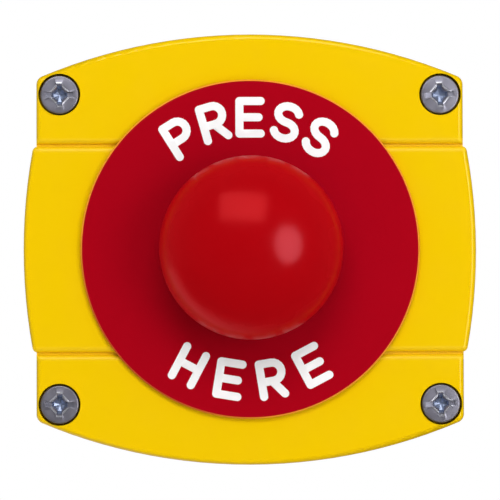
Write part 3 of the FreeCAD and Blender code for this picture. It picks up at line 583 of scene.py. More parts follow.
def scatter_tree(name):
    """Instances of one object on points, each turned about its axis by a seeded random angle."""
    group, tree, given, result = geometry_tree(name, (
        ("Piece", "Object", None), ("Material", "Material", None),
        ("Turn", "Float", 0.0), ("Seed", "Int", 4)))
    piece = tree.add("GeometryNodeObjectInfo", {"Object": given["Piece"]})
    back = tree.math("MULTIPLY", given["Turn"], -1.0)
    turn = tree.add("FunctionNodeRandomValue", {"Seed": given["Seed"]}, data_type="FLOAT")
    tree.join(back, turn.inputs[2])
    tree.join(given["Turn"], turn.inputs[3])
    placed = tree.add("GeometryNodeInstanceOnPoints", {
        "Points": given["Geometry"], "Instance": piece.outputs["Geometry"],
        "Rotation": tree.vector(Y=turn.outputs[1])})
    real = tree.add("GeometryNodeRealizeInstances", {"Geometry": placed.outputs["Instances"]})
    dressed(tree, real.outputs["Geometry"], given["Material"], result)
    return group


def ribs_tree():
    """Upright ribs set round the middle of a turned shell and made one with it."""
    group, tree, given, result = geometry_tree("ribs", (
        ("Material", "Material", None), ("Count", "Int", 6), ("Width", "Float", 1.4 * MM),
        ("Inside", "Float", 7.7 * MM), ("Outside", "Float", 17.9 * MM),
        ("Low", "Float", 4.6 * MM), ("High", "Float", 7.9 * MM)))
    ring = tree.add("GeometryNodeMeshCircle", {
        "Vertices": given["Count"],
        "Radius": tree.math("MULTIPLY", tree.math("ADD", given["Inside"], given["Outside"]), 0.5)})
    way = tree.math("DIVIDE", tree.add("GeometryNodeInputIndex").outputs[0], given["Count"])
    size = tree.vector(X=tree.math("SUBTRACT", given["Outside"], given["Inside"]),
                       Y=given["Width"], Z=tree.math("SUBTRACT", given["High"], given["Low"]))
    rib = tree.add("GeometryNodeMeshCube", {"Size": size})
    placed = tree.add("GeometryNodeInstanceOnPoints", {
        "Points": ring.outputs["Mesh"], "Instance": rib.outputs["Mesh"],
        "Rotation": tree.vector(Z=tree.math("MULTIPLY", way, 2 * math.pi))})
    real = tree.add("GeometryNodeRealizeInstances", {"Geometry": placed.outputs["Instances"]})
    lift = tree.math("MULTIPLY", tree.math("ADD", given["Low"], given["High"]), 0.5)
    raised = tree.add("GeometryNodeTransform", {
        "Geometry": real.outputs["Geometry"], "Translation": tree.vector(Z=lift)})
    joined = tree.add("GeometryNodeMeshBoolean", {}, operation="UNION", solver="EXACT")
    for part in (given["Geometry"], raised.outputs["Geometry"]):
        tree.join(part, joined.inputs["Mesh 2"])
    dressed(tree, joined.outputs["Mesh"], given["Material"], result)
    return group


def coil_tree():
    """Round wire wound along Z with dead end coils, as compression springs have."""
    group, tree, given, result = geometry_tree("coil", (
        ("Material", "Material", None), ("Turns", "Float", 5.0),
        ("Coil radius", "Float", 7.5 * MM), ("Wire radius", "Float", 0.6 * MM),
        ("Length", "Float", 14 * MM), ("Steps", "Int", 40), ("Sides", "Int", 12)))
    dead_share, dead_rise = 0.16, 0.05
    count = tree.math("MULTIPLY", given["Turns"], given["Steps"])
    line = tree.add("GeometryNodeMeshLine", {
        "Count": count, "Offset": (0.0, 0.0, 0.0)}, mode="OFFSET")
    way = tree.math("DIVIDE", tree.add("GeometryNodeInputIndex").outputs[0],
                    tree.math("SUBTRACT", count, 1.0))
    angle = tree.math("MULTIPLY", tree.math("MULTIPLY", way, given["Turns"]), 2 * math.pi)
    eased = tree.add("ShaderNodeFloatCurve", {"Value": way})
    points = eased.mapping.curves[0].points
    points[0].location = (0.0, 0.0)
    points[1].location = (1.0, 1.0)
    points.new(dead_share, dead_rise)
    points.new(1 - dead_share, 1 - dead_rise)
    eased.mapping.update()
    place = tree.vector(
        X=tree.math("MULTIPLY", tree.math("COSINE", angle), given["Coil radius"]),
        Y=tree.math("MULTIPLY", tree.math("SINE", angle), given["Coil radius"]),
        Z=tree.math("MULTIPLY", eased.outputs[0], given["Length"]))
    wound = tree.add("GeometryNodeSetPosition", {
        "Geometry": line.outputs["Mesh"], "Position": place})
    path = tree.add("GeometryNodeMeshToCurve", {"Mesh": wound.outputs["Geometry"]})
    ring = tree.add("GeometryNodeCurvePrimitiveCircle", {
        "Resolution": given["Sides"], "Radius": given["Wire radius"]})
    wire = tree.add("GeometryNodeCurveToMesh", {
        "Curve": path.outputs["Curve"], "Profile Curve": ring.outputs["Curve"],
        "Fill Caps": True})
    soft = tree.add("GeometryNodeSetShadeSmooth", {"Geometry": wire.outputs["Mesh"]})
    real = tree.add("GeometryNodeRealizeInstances", {"Geometry": soft.outputs["Geometry"]})
    dressed(tree, real.outputs["Geometry"], given["Material"], result)
    return group


def word_tree():
    """Strokes given as lines of a flat mesh become printed letters set round an arc.
    The attribute along says how far round the arc each letter stands."""
    group, tree, given, result = geometry_tree("word_on_arc", (
        ("Material", "Material", None), ("Radius", "Float", 30 * MM),
        ("Stroke", "Float", 1.8 * MM), ("Thickness", "Float", 0.1 * MM)))
    along = tree.add("GeometryNodeInputNamedAttribute", {"Name": "along"}, data_type="FLOAT")
    raised = tree.add("ShaderNodeVectorMath", {}, operation="ADD")
    tree.join(tree.add("GeometryNodeInputPosition").outputs[0], raised.inputs[0])
    tree.join(tree.vector(Y=given["Radius"]), raised.inputs[1])
    angle = tree.math("MULTIPLY", tree.math(
        "DIVIDE", along.outputs["Attribute"], given["Radius"]), -1.0)
    turned = tree.add("ShaderNodeVectorRotate", {
        "Vector": raised.outputs["Vector"], "Angle": angle}, rotation_type="Z_AXIS")
    bent = tree.add("GeometryNodeSetPosition", {
        "Geometry": given["Geometry"], "Position": turned.outputs["Vector"]})
    strokes = tree.add("GeometryNodeMeshToCurve", {"Mesh": bent.outputs["Geometry"]})
    upright = tree.add("GeometryNodeSetCurveNormal", {
        "Curve": strokes.outputs["Curve"]}, mode="Z_UP")
    section = tree.add("GeometryNodeCurvePrimitiveQuadrilateral", {
        "Width": given["Stroke"], "Height": given["Thickness"]})
    bars = tree.add("GeometryNodeCurveToMesh", {
        "Curve": upright.outputs["Curve"], "Profile Curve": section.outputs["Curve"],
        "Fill Caps": True})
    dot = tree.add("GeometryNodeMeshCylinder", {
        "Vertices": 32, "Radius": tree.math("DIVIDE", given["Stroke"], 2.0),
        "Depth": given["Thickness"]})
    dots = tree.add("GeometryNodeInstanceOnPoints", {
        "Points": bent.outputs["Geometry"], "Instance": dot.outputs["Mesh"]})
    real = tree.add("GeometryNodeRealizeInstances", {"Geometry": dots.outputs["Instances"]})
    joined = tree.add("GeometryNodeMeshBoolean", {}, operation="UNION", solver="EXACT")
    joined.inputs["Self Intersection"].default_value = True
    for part in (bars.outputs["Mesh"], real.outputs["Geometry"]):
        tree.join(part, joined.inputs["Mesh 2"])
    dressed(tree, joined.outputs["Mesh"], given["Material"], result)
    return group


# Printed letters

def letter_strokes(letter, wide, tall):
    """The strokes of one round-ended capital, as lists of points on its middle lines."""
    bowl = 0.28 * tall
    waist = tall - 2 * bowl
    loop = [(0, tall), *arc((wide - bowl, tall - bowl), bowl, 90, -90, 10), (0, waist)]
    stem = [(0, 0), (0, tall)]
    mouth, half_s = 20, (wide / 2, tall / 4)
    shapes = {
        "P": [stem, loop],
        "R": [stem, loop, [(0.5 * wide, waist), (wide, 0)]],
        "E": [stem, [(0, 0), (wide, 0)], [(0, tall), (wide, tall)],
              [(0, tall / 2), (0.9 * wide, tall / 2)]],
        "S": [arc((wide / 2, tall * 0.75), half_s, mouth, 270, 14)
              + arc((wide / 2, tall / 4), half_s, 90, mouth - 180, 14)[1:]],
        "H": [stem, [(wide, 0), (wide, tall)], [(0, tall / 2), (wide, tall / 2)]],
    }
    return shapes[letter]


def word_mesh(word, pitch, wide, tall):
    """The strokes of a word as mesh lines, with how far along its arc each letter stands."""
    points, lines, along = [], [], []
    for n, letter in enumerate(word):
        stand = (n - (len(word) - 1) / 2) * pitch
        for stroke in letter_strokes(letter, wide, tall):
            first = len(points)
            points += [(x - wide / 2, y, 0) for x, y in stroke]
            lines += [(k, k + 1) for k in range(first, len(points) - 1)]
            along += [stand] * len(stroke)
    mesh = bpy.data.meshes.new(word)
    mesh.from_pydata(points, lines, [])
    mesh.attributes.new("along", "FLOAT", "POINT").data.foreach_set("value", along)
    return mesh


# Operators

class BUTTON_OT_enclosure(bpy.types.Operator):
    """Finish the yellow cover, the dark base and the gasket between them"""
    bl_idname = "button.enclosure"
    bl_label = "Enclosure"

    def shade(self, yellow, colour, sizes):
        """Paint shade on the cover's sides, and leave its grooves light and softer in gloss."""
        front, side = 0.94, 0.5
        side_shade_share, groove_roughness = 0.74, 0.26
        middle_of_groove, fade = sizes.groove_width / 2, 0.6 * MM
        tree, place = painted(yellow)
        facing = tree.parts(tree.add("ShaderNodeTexCoord").outputs["Normal"])["Y"]
        sides = tree.ranged(tree.math("ABSOLUTE", facing), front, side)
        beside = tree.math("SUBTRACT", tree.math("ABSOLUTE", tree.parts(place)["Z"]),
                           sizes.groove_rise)
        groove = tree.ranged(tree.math("ABSOLUTE", beside), middle_of_groove + fade,
                             middle_of_groove)
        # Painted shade: darker where the cover turns from the front to its sides, but not in the
        # grooves.
        painted_side_shade = tree.math("MULTIPLY", sides, tree.math("SUBTRACT", 1.0, groove))
        restain(yellow, painted_side_shade, [side_shade_share * part for part in colour])
        roughen(yellow, tree.math("MULTIPLY", groove, groove_roughness))

    def execute(self, context):
        colours = context.scene.button_colours
        yellow = plastic("cover_plastic", colours.cover, 0.14, bump=1.2e-6, spread=0.002,
                         level=0.16)
        self.shade(yellow, colours.cover, context.scene.button_sizes)
        finish("cover", yellow)
        finish("base", plastic("base_plastic", colours.base, 0.55, bump=9e-6, bump_size=0.5 * MM))
        seal = rubber("seal_rubber", colours.rubber)
        for node in ("cover_gasket", "screw_seals", "flange_seal", "stem_seal"):
            finish(node, seal)
        return {"FINISHED"}


class BUTTON_OT_head(bpy.types.Operator):
    """Turn the smooth mushroom head with its hub, and set the ribs round the hub"""
    bl_idname = "button.head"
    bl_label = "Mushroom head"

    def finish(self, colour):
        """Red plastic, glossy on the crown, softer towards the rim, where painted light makes it a
        little lighter.
        """
        softer_from, painted_light_from, softer_to, painted_light_to = 13 * MM, 15 * MM, 19 * MM, 19.5 * MM
        rim_roughness, rim_light_share = 0.15, 1.2
        material = plastic("head_plastic", colour, 0.17, bump=0.8e-6, spread=0.02, level=0.03,
                           pearl=0.05)
        tree, place = painted(material)
        roughen(material, outward(tree, place, softer_from, softer_to, 0.0, rim_roughness))
        # Painted light: the red turns a little lighter towards the rim.
        restain(material, outward(tree, place, painted_light_from, painted_light_to),
                [rim_light_share * part for part in colour])
        return material

    def profile(self, sizes, radius):
        """Half the section of head and hub, from the stem's seat round the rim to the crown. Its
        height is measured from the rim."""
        wall, edge = sizes.head_wall, 0.6 * MM
        hub, bore = sizes.hub_diameter / 2, sizes.hub_bore / 2
        side = radius - sizes.shoulder_radius
        reach = sizes.crown_radius - sizes.shoulder_radius
        lean = math.degrees(math.acos(side / reach))
        centre = (0, sizes.rim_height - math.sqrt(reach ** 2 - side ** 2))
        shoulder = (side, sizes.rim_height)
        crown_in, shoulder_in = sizes.crown_radius - wall, sizes.shoulder_radius - wall
        inner = [point for point in arc(centre, crown_in, 90, lean, 24) if point[0] > hub]
        meeting = (hub, centre[1] + math.sqrt(crown_in ** 2 - hub ** 2))
        return [(0, sizes.hub_bore_top), (bore, sizes.hub_bore_top), (bore, -sizes.hub_stand),
                (hub, -sizes.hub_stand), meeting, *inner,
                *arc(shoulder, shoulder_in, lean, 0, 16)[1:],
                (radius - wall, 0), (radius - edge, 0),
                *arc((radius - edge, edge), edge, -90, 0, 6)[1:],
                *arc(shoulder, sizes.shoulder_radius, 0, lean, 28),
                *arc(centre, sizes.crown_radius, lean, 90, 40)[1:-1],
                (0, centre[1] + sizes.crown_radius)]

    def execute(self, context):
        sizes = context.scene.button_sizes
        material = self.finish(context.scene.button_colours.head)
        radius = across("mushroom_head") / 2
        sunk = 0.5 * MM
        shell = link("head_shell", lathe(self.profile(sizes, radius), 160, "head_shell"))
        dome = run_tree(shell, ribs_tree(), {
            "Material": material, "Count": sizes.rib_count, "Width": sizes.rib_width,
            "Inside": sizes.hub_diameter / 2 - sunk, "Outside": radius - sizes.head_wall + sunk,
            "Low": sizes.rib_start, "High": sizes.rib_end}, "mushroom_dome")
        face_front(dome.data, high("mushroom_head").y - sizes.hub_stand)
        smooth(dome)
        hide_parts("mushroom_head")
        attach(dome, "button")
        return {"FINISHED"}


class BUTTON_OT_legend(bpy.types.Operator):
    """Finish the legend disc and print its two words round the button"""
    bl_idname = "button.legend"
    bl_label = "Legend disc"

    def finish(self, colours):
        """Red plastic with a painted highlight along the disc's edge, fainter at the lower left,
        away from the light.
        """
        line_in, line_full, line_out = 0.36 * MM, 0.30 * MM, 0.04 * MM
        faint_from, faint_to, faintest = 0.9, 1.35, 0.3
        red = plastic("disc_plastic", colours.disc, 0.42, bump=2e-6, spread=0.015,
                      tint=colours.disc_gloss, level=0.3)
        rim = across("legend_disc") / 2
        tree, place = painted(red)
        # Painted highlight along the rounded edge, faded at the lower left where less light falls.
        line = tree.math("MULTIPLY", outward(tree, place, rim - line_in, rim - line_full),
                         outward(tree, place, rim - line_out, rim, 1.0, 0.0))
        parts = tree.parts(place)
        lower_left = tree.math("MULTIPLY", tree.math("ADD", parts["X"], parts["Z"]), -1.0 / rim)
        highlight_fade = tree.ranged(lower_left, faint_from, faint_to, 1.0, faintest)
        restain(red, tree.math("MULTIPLY", line, highlight_fade), colours.disc_edge_highlight)
        return red

    def execute(self, context):
        sizes = context.scene.button_sizes
        colours = context.scene.button_colours
        finish("legend_disc", self.finish(colours))
        ink = plastic("white_print", colours.ink, 0.5, bump=3e-6, bump_size=0.12 * MM,
                      spread=0.015)
        tall = sizes.letter_outer - sizes.letter_inner
        group = word_tree()
        for name, word, radius, pitch in (
                ("print_upper", "PRESS", sizes.letter_inner, 7.15 * MM),
                ("print_lower", "HERE", -sizes.letter_outer, 10.6 * MM)):
            lines = link(name + "_lines", word_mesh(word, pitch, sizes.letter_width, tall))
            printed = run_tree(lines, group, {
                "Material": ink, "Radius": radius, "Stroke": sizes.letter_stroke,
                "Thickness": 2 * sizes.print_height}, name)
            face_front(printed.data, low("legend_disc").y)
            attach(printed, "housing")
        return {"FINISHED"}


# Outlines of the driver recess in millimetres: how far it reaches across and upwards, half the
# width of its arms, and the cut across the corners between them
MOUTH = (2.30, 2.55, 0.62, 1.30)
MOUTH_FLOOR = (1.70, 2.05, 0.46, 0.82)
CROSS = (1.85, 2.25, 0.58, 0.75)
CROSS_FLOOR = (1.35, 1.45, 0.42, 0.60)
RIDGE = (2.35, 2.60, 0.64, 1.35)
RIDGE_FOOT = (2.75, 3.00, 0.74, 1.60)


class BUTTON_OT_cover_screws(bpy.types.Operator):
    """Model one cheese head with its recess and thread, and set it at the four corners"""
    bl_idname = "button.cover_screws"
    bl_label = "Cover screws"

    def execute(self, context):
        sizes = context.scene.button_sizes
        first, last = low("cover_screws"), high("cover_screws")
        plating = self.plating(context.scene.button_colours, first.y)
        tip = sizes.screw_head_height - depth("cover_screws")
        screw = self.turned(sizes, tip)
        thread = self.thread(sizes, tip, plating)
        screw.data = joined_mesh("screw", (screw.data, thread.data))
        bpy.data.objects.remove(thread)
        smooth(screw, math.radians(25))
        face_front(screw.data, 0)
        head, seat = sizes.screw_head / 2, first.y + sizes.screw_head_height
        places = [(x, seat, z) for x in (first.x + head, last.x - head)
                  for z in (first.z + head, last.z - head)]
        screws = run_tree(point_cloud("screw_places", places), scatter_tree("set_screws"), {
            "Piece": screw, "Material": plating, "Turn": math.radians(4.0), "Seed": 7},
            "cover_screw_set")
        bpy.data.objects.remove(screw)
        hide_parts("cover_screws")
        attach(screws, "housing")
        return {"FINISHED"}

    def turned(self, sizes, tip):
        """Head and shank with the recess cut out and its edges softened, the seat at height 0."""
        edge, break_edge, soft_edge = 0.35 * MM, 0.1 * MM, 0.12 * MM
        head, top = sizes.screw_head / 2, sizes.screw_head_height
        core = sizes.screw_thread / 2 - sizes.thread_height
        profile = [(0, tip), (core - edge, tip), (core, tip + edge), (core, 0),
                   (head - break_edge, 0), (head, break_edge),
                   *arc((head - edge, top - edge), edge, 0, 90, 6), (0, top)]
        blank = link("screw_blank", joined_mesh("screw_blank", (
            lathe(profile, 64, "screw_body"), self.ridge(top))))
        recess = link("screw_recess", self.recess(sizes))
        cutting = blank.modifiers.new("Recess", "BOOLEAN")
        cutting.operation, cutting.solver = "DIFFERENCE", "EXACT"
        cutting.use_self = True
        cutting.object = recess
        softened = blank.modifiers.new("Softened", "BEVEL")
        softened.width = soft_edge
        softened.segments = 3
        softened.limit_method = "ANGLE"
        screw = made_plain(blank, "screw")
        bpy.data.objects.remove(recess)
        return screw

    def thread(self, sizes, tip, plating):
        """A ridge wound round the shank, from one pitch above its end to three below the head."""
        pitch = sizes.thread_pitch
        length = -tip - 4 * pitch
        seed = link("thread_seed", bpy.data.meshes.new("thread_seed"))
        thread = run_tree(seed, coil_tree(), {
            "Material": plating, "Turns": length / pitch,
            "Coil radius": sizes.screw_thread / 2 - sizes.thread_height,
            "Wire radius": sizes.thread_height, "Length": length, "Steps": 24, "Sides": 6},
            "thread")
        thread.data.transform(Matrix.Translation((0, 0, tip + pitch)))
        return thread

    def plating(self, colours, face):
        """Bluish zinc, with a lighter blue painted down in the recesses as the tone of their shade,
        and burnished on the ridge round them, painted lighter there as a highlight.
        """
        deepest, starts, nearly_full, lasts = 2 * MM, 0.12, (0.35, 0.78), 0.85
        ridge_from, ridge_to, polish = 0.01 * MM, 0.04 * MM, -0.12
        material = metal("zinc_steel", colours.plating, 0.36, (1, 6, 1), metallic=0.6)
        tree, place = painted(material)
        out = tree.parts(place)["Y"]
        # Painted shade tone: a bluer, lighter zinc from the face down to the floor of the recesses.
        inside = tree.add("ShaderNodeValToRGB", {"Fac": tree.ranged(out, face, face + deepest)})
        stops = inside.color_ramp.elements
        stops[0].position = starts
        for at in nearly_full:
            stops.new(at).color = (lasts, lasts, lasts, 1.0)
        restain(material, inside.outputs["Color"], colours.recess)
        # Burnish on the ridge, painted lighter as a highlight so that it glints.
        worn_and_glint = tree.ranged(out, face - ridge_from, face - ridge_to)
        restain(material, worn_and_glint, colours.burnish_and_glint)
        roughen(material, tree.math("MULTIPLY", worn_and_glint, polish))
        return material

    def cross(self, across, upwards, half, corner):
        """The outline of a cross whose inner corners are cut, from sizes in millimetres."""
        quarter = [(across, half), (half + corner, half), (half, half + corner), (half, upwards)]
        points = []
        for i, j in ((1, 1), (-1, 1), (-1, -1), (1, -1)):
            turned = [(i * x * MM, j * y * MM) for x, y in quarter]
            points += turned if i == j else turned[::-1]
        return points

    def tapers(self, name, steps, point=0.0):
        """Prisms between two outlines with as many points, each given as (outline, height,
        outline, height). The floor of the last one ends in a point that much deeper."""
        shape = bmesh.new()
        for upper, high_at, lower, low_at in steps:
            tops = [shape.verts.new((x, y, high_at)) for x, y in upper]
            floor = [shape.verts.new((x, y, low_at)) for x, y in lower]
            shape.faces.new(tops)
            for k, (a, b) in enumerate(zip(floor, floor[1:] + floor[:1])):
                shape.faces.new((tops[(k + 1) % len(tops)], tops[k], a, b))
            if point and (upper, high_at, lower, low_at) == steps[-1]:
                tip = shape.verts.new((0, 0, low_at - point))
                for a, b in zip(floor, floor[1:] + floor[:1]):
                    shape.faces.new((b, a, tip))
            else:
                shape.faces.new(floor[::-1])
        bmesh.ops.recalc_face_normals(shape, faces=shape.faces)
        mesh = bpy.data.meshes.new(name)
        shape.to_mesh(mesh)
        shape.free()
        return mesh

    def recess(self, sizes):
        """What the driver recess takes out: a shallow slot across, a flared mouth and a deep
        tapered cross that ends in a point."""
        mouth_depth, point = 0.4 * MM, 0.45 * MM
        top = sizes.screw_head_height
        over = top + 0.2 * MM
        slot = sizes.slot_width / 2
        long = 0.36 * sizes.screw_head
        box = [(-long, -slot), (long, -slot), (long, slot), (-long, slot)]
        return self.tapers("screw_recess", (
            (box, over, box, top - sizes.slot_depth),
            (self.cross(*MOUTH), over, self.cross(*MOUTH_FLOOR), top - mouth_depth),
            (self.cross(*CROSS), over, self.cross(*CROSS_FLOOR), top - sizes.cross_depth)), point)

    def ridge(self, top):
        """The low ridge that the driver raised round the recess's mouth."""
        rise, sunk = 0.11 * MM, 0.05 * MM
        return self.tapers("screw_lip", (
            (self.cross(*RIDGE), top + rise, self.cross(*RIDGE_FOOT), top - sunk),))


class BUTTON_OT_operator(bpy.types.Operator):
    """Finish the bushing, its nut, the stem and what the stem carries"""
    bl_idname = "button.operator"
    bl_label = "Button mechanism"

    def execute(self, context):
        colours = context.scene.button_colours
        black = plastic("black_plastic", colours.black, 0.38, bump=5e-6)
        white = plastic("white_plastic", colours.white, 0.4, bump=4e-6)
        zinc = metal("nut_zinc", colours.plating, 0.32)
        steel = metal("clip_steel", colours.steel, 0.28)
        for node in ("operator_bushing", "actuator_foot", "contact_carrier"):
            finish(node, black)
        for node in ("plunger_stem", "contact_plunger_left", "contact_plunger_right"):
            finish(node, white)
        for node in ("lock_nut", "foot_screw"):
            finish(node, zinc)
        finish("retaining_clip", steel)
        return {"FINISHED"}


class BUTTON_OT_contacts(bpy.types.Operator):
    """Finish the two contact blocks with their strips, bridges, screws and clamps"""
    bl_idname = "button.contacts"
    bl_label = "Contact blocks"

    def execute(self, context):
        colours = context.scene.button_colours
        grey = plastic("block_plastic", colours.block, 0.45, bump=6e-6)
        lid = plastic("lid_plastic", colours.lid, 0.45, bump=6e-6)
        strip = metal("contact_brass", colours.contact, 0.25, (1, 1, 5))
        zinc = metal("terminal_zinc", colours.plating, 0.34)
        for side in ("left", "right"):
            finish("contact_block_" + side, grey)
            finish("block_lid_" + side, lid)
            finish("contact_bridge_" + side, strip)
            finish("fixed_contacts_" + side, strip)
        for node in ("terminal_screws", "wire_clamps"):
            finish(node, zinc)
        finish("screw_inserts", metal("brass", colours.brass, 0.3, (1, 4, 1)))
        return {"FINISHED"}


class BUTTON_OT_springs(bpy.types.Operator):
    """Wind the return spring and the two contact springs"""
    bl_idname = "button.springs"
    bl_label = "Springs"

    def execute(self, context):
        sizes = context.scene.button_sizes
        steel = metal("spring_steel", context.scene.button_colours.steel, 0.25, (6, 1, 6))
        group = coil_tree()
        wires = {"return_spring": sizes.return_wire}
        for joint in frame["joints"]:
            for squashed in joint["deforming_nodes"]:
                node, dead = squashed["node"], squashed["fixed_end_y_m"]
                wire = wires.get(node, sizes.contact_wire)
                length = depth(node)
                seed = link(node + "_seed", bpy.data.meshes.new(node + "_seed"))
                spring = run_tree(seed, group, {
                    "Material": steel, "Turns": sizes.spring_turns,
                    "Coil radius": (across(node) - wire) / 2, "Wire radius": wire / 2,
                    "Length": length - wire}, node + "_coil")
                spring.data.transform(Matrix.Translation((0, 0, wire / 2)))
                face_front(spring.data, high(node).y)
                spring.data.transform(Matrix.Translation((middle(node).x, 0, 0)))
                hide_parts(node)
                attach(spring, "housing")
                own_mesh(spring)
        return {"FINISHED"}


class BUTTON_OT_studio(bpy.types.Operator):
    """Set the camera, the softboxes, the pale surroundings and the floor"""
    bl_idname = "button.studio"
    bl_label = "Studio"

    def execute(self, context):
        studio = context.scene.button_studio
        self.set_camera(context.scene, studio)
        self.set_lights(studio)
        self.set_surroundings(context.scene, studio)
        self.set_floor(studio)
        context.scene.view_settings.view_transform = "Standard"
        return {"FINISHED"}

    def set_camera(self, scene, studio):
        """Look at the middle of the legend disc, a little from the left and from below."""
        camera = bpy.data.cameras.new("camera")
        camera.sensor_width = 36
        camera.lens = camera.sensor_width * studio.camera_distance / studio.picture_width
        camera.shift_x, camera.shift_y = studio.shift_across, studio.shift_up
        viewer = link("camera", camera)
        turn = Matrix.Rotation(-studio.camera_left, 3, "Z") @ Matrix.Rotation(
            studio.camera_below, 3, "X")
        disc = Vector((0, low("legend_disc").y, 0))
        viewer.location = disc + turn @ Vector((0, -studio.camera_distance, 0))
        viewer.rotation_euler = (turn @ Matrix.Rotation(math.radians(90), 3, "X")
                                 @ Matrix.Rotation(studio.camera_roll, 3, "Z")).to_euler()
        scene.camera = viewer

    def softbox(self, name, side, up, away, size, radiance, shows, shape="RECTANGLE",
                tint=(1, 1, 1)):
        """An area light aimed at the dome from the given angles in degrees. It either shows in
        glossy surfaces or lights the rest."""
        side, up = math.radians(side), math.radians(up)
        dome = Vector((0, low("mushroom_head").y, 0))
        way = Vector((math.sin(side), -math.cos(side) * math.cos(up), math.sin(up))).normalized()
        lamp = bpy.data.lights.new(name, "AREA")
        lamp.shape = shape
        lamp.size, lamp.size_y = size
        lamp.energy = radiance * math.pi * size[0] * size[1]
        lamp.color = tint
        light = link(name, lamp)
        light.location = dome + away * way
        light.rotation_euler = (-way).to_track_quat("-Z", "Y").to_euler()
        light.visible_glossy = shows
        light.visible_diffuse = not shows
        return light

    def link_to_dome(self, light, state):
        """Link a light to the dome: INCLUDE lights only the dome, EXCLUDE all but the dome."""
        linked = bpy.data.collections.new(light.name + "_dome")
        linked.objects.link(bpy.data.objects["mushroom_dome"])
        linked.collection_objects[0].light_linking.link_state = state
        light.light_linking.receiver_collection = linked
        return linked

    def set_lights(self, studio):
        """Two lights for the object and four softboxes that only show in its gloss. The tall one
        leaves out the dome, which has a round one and one along its edge to itself."""
        self.softbox("key_light", side=-2, up=33, away=0.60, size=(0.34, 0.24),
                     radiance=studio.key_power, shows=False)
        self.softbox("right_light", side=35, up=4, away=1.20, size=(0.48, 0.68),
                     radiance=studio.right_power, shows=False)
        self.softbox("upper_softbox", side=-7.6, up=42, away=0.58, size=(0.45, 0.30),
                     radiance=studio.upper_shine, shows=True)
        tall = self.softbox("right_softbox", side=36, up=-11, away=0.58, size=(0.27, 0.70),
                            radiance=studio.right_shine, shows=True)
        self.link_to_dome(tall, "EXCLUDE")
        rounded = self.softbox("dome_softbox", side=37, up=3, away=0.58, size=(0.28, 0.36),
                               radiance=studio.dome_shine, shows=True, shape="ELLIPSE",
                               tint=studio.dome_tint)
        self.link_to_dome(rounded, "INCLUDE")
        grazing = self.softbox("edge_softbox", side=-141.5, up=-52.9, away=0.50,
                               size=(0.36, 0.80), radiance=studio.edge_shine, shows=True,
                               shape="ELLIPSE", tint=studio.edge_tint)
        grazing.light_linking.blocker_collection = self.link_to_dome(grazing, "INCLUDE")

    def set_surroundings(self, scene, studio):
        """Even light from all round, strongest from the sides, that is white to the camera and
        dim in gloss, but for the left."""
        front, beside, back = -0.5, -0.05, 0.25
        dim, less_dim, left_shine = 0.02, 0.08, 0.4
        less_dim_from, less_dim_to = 0.4, 0.9
        left_from, left_to = -0.5, -0.95
        world = bpy.data.worlds.new("surroundings")
        world.use_nodes = True
        tree = Tree(world.node_tree)
        background = world.node_tree.nodes["Background"]
        rays = tree.add("ShaderNodeLightPath").outputs
        way = tree.parts(tree.add("ShaderNodeTexCoord").outputs["Generated"])
        behind = tree.ranged(way["Y"], less_dim_from, less_dim_to, dim, less_dim)
        left = tree.ranged(way["X"], left_from, left_to, 0.0, left_shine)
        mirrored = tree.math("MAXIMUM", behind, left)
        rising = tree.ranged(way["Y"], front, beside, studio.front_fill, studio.side_fill)
        falling = tree.ranged(way["Y"], beside, back, studio.side_fill, studio.back_fill)
        wrapped = tree.math("MINIMUM", rising, falling)
        sharp = tree.math("MAXIMUM", rays["Is Glossy Ray"], rays["Is Transmission Ray"])
        around = tree.add("ShaderNodeMix", {
            "Factor": sharp, "A": wrapped, "B": mirrored}, data_type="FLOAT").outputs["Result"]
        seen = tree.add("ShaderNodeMix", {
            "Factor": rays["Is Camera Ray"], "A": around, "B": 1.0}, data_type="FLOAT")
        tree.join(seen.outputs["Result"], background.inputs["Strength"])
        background.inputs["Color"].default_value = WHITE
        scene.world = world

    def set_floor(self, studio):
        """A pale round floor that takes the shadow. In gloss it is dark but for a glow at its
        left, which grows from nothing at the dome's front to full strength at its rim."""
        radius, thickness, below = 0.42, 0.004, 0.105
        grey, rough, own_white = (0.80, 0.80, 0.80), 0.8, 0.5
        glow_starts, glow_full, elsewhere = 0.05, -0.08, 0.05
        profile = [(0, 0), (radius, 0), (radius, -thickness), (0, -thickness)]
        floor = link("floor", lathe(profile, 96, "floor"))
        floor.data.transform(Matrix.Translation((0, 0, -below)))
        pale, tree, shader, place = surface("pale_floor")
        tree.join(mottled(tree, place, grey, scale=6, spread=0.01), shader.inputs["Base Color"])
        shader.inputs["Roughness"].default_value = rough
        rays = tree.add("ShaderNodeLightPath").outputs
        white = tree.add("ShaderNodeEmission", {"Color": WHITE, "Strength": 1.0})
        lit = tree.add("ShaderNodeMixShader", {
            "Fac": tree.math("MULTIPLY", rays["Is Camera Ray"], own_white)})
        tree.join(shader.outputs["BSDF"], lit.inputs[1])
        tree.join(white.outputs["Emission"], lit.inputs[2])
        parts = tree.parts(place)
        left = tree.ranged(parts["X"], glow_starts, glow_full)
        front = tree.ranged(parts["Y"], low("mushroom_head").y, high("mushroom_head").y,
                            0.0, studio.low_shine)
        strength = tree.math("ADD", tree.math("MULTIPLY", left, front), elsewhere)
        glow = tree.add("ShaderNodeEmission", {"Color": WHITE, "Strength": strength})
        mirrored = tree.add("ShaderNodeMixShader", {"Fac": rays["Is Glossy Ray"]})
        tree.join(lit.outputs["Shader"], mirrored.inputs[1])
        tree.join(glow.outputs["Emission"], mirrored.inputs[2])
        end = pale.node_tree.nodes["Material Output"]
        tree.join(mirrored.outputs["Shader"], end.inputs["Surface"])
        floor.data.materials.append(pale)


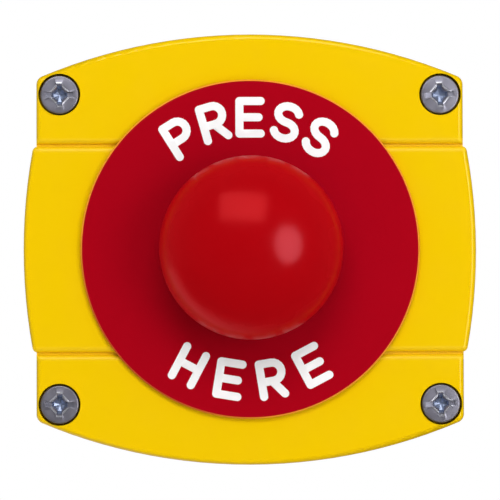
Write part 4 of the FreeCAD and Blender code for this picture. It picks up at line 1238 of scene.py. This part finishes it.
class BUTTON_PT_panel(bpy.types.Panel):
    """Sidebar panel with the sizes, the colours and one button for each group of pieces"""
    bl_idname = "BUTTON_PT_panel"
    bl_label = "Push button"
    bl_space_type = "VIEW_3D"
    bl_region_type = "UI"
    bl_category = "Push button"

    def draw(self, context):
        layout = self.layout
        for group in (context.scene.button_sizes, context.scene.button_colours,
                      context.scene.button_studio):
            box = layout.box()
            for name in group.__annotations__:
                box.prop(group, name)
        for operator in OPERATORS:
            layout.operator(operator.bl_idname)


GROUPS = (ButtonSizes, ButtonColours, StudioSettings)
OPERATORS = (BUTTON_OT_enclosure, BUTTON_OT_head, BUTTON_OT_legend, BUTTON_OT_cover_screws,
             BUTTON_OT_operator, BUTTON_OT_contacts, BUTTON_OT_springs, BUTTON_OT_studio)


def register():
    for cls in (*GROUPS, *OPERATORS, BUTTON_PT_panel):
        bpy.utils.register_class(cls)
    bpy.types.Scene.button_sizes = PointerProperty(type=ButtonSizes)
    bpy.types.Scene.button_colours = PointerProperty(type=ButtonColours)
    bpy.types.Scene.button_studio = PointerProperty(type=StudioSettings)


def unregister():
    for name in ("button_sizes", "button_colours", "button_studio"):
        delattr(bpy.types.Scene, name)
    for cls in reversed((*GROUPS, *OPERATORS, BUTTON_PT_panel)):
        bpy.utils.unregister_class(cls)


def main():
    register()
    bpy.ops.button.enclosure()
    bpy.ops.button.head()
    bpy.ops.button.legend()
    bpy.ops.button.cover_screws()
    bpy.ops.button.operator()
    bpy.ops.button.contacts()
    bpy.ops.button.springs()
    bpy.ops.button.studio()


if __name__ == "__main__":
    main()
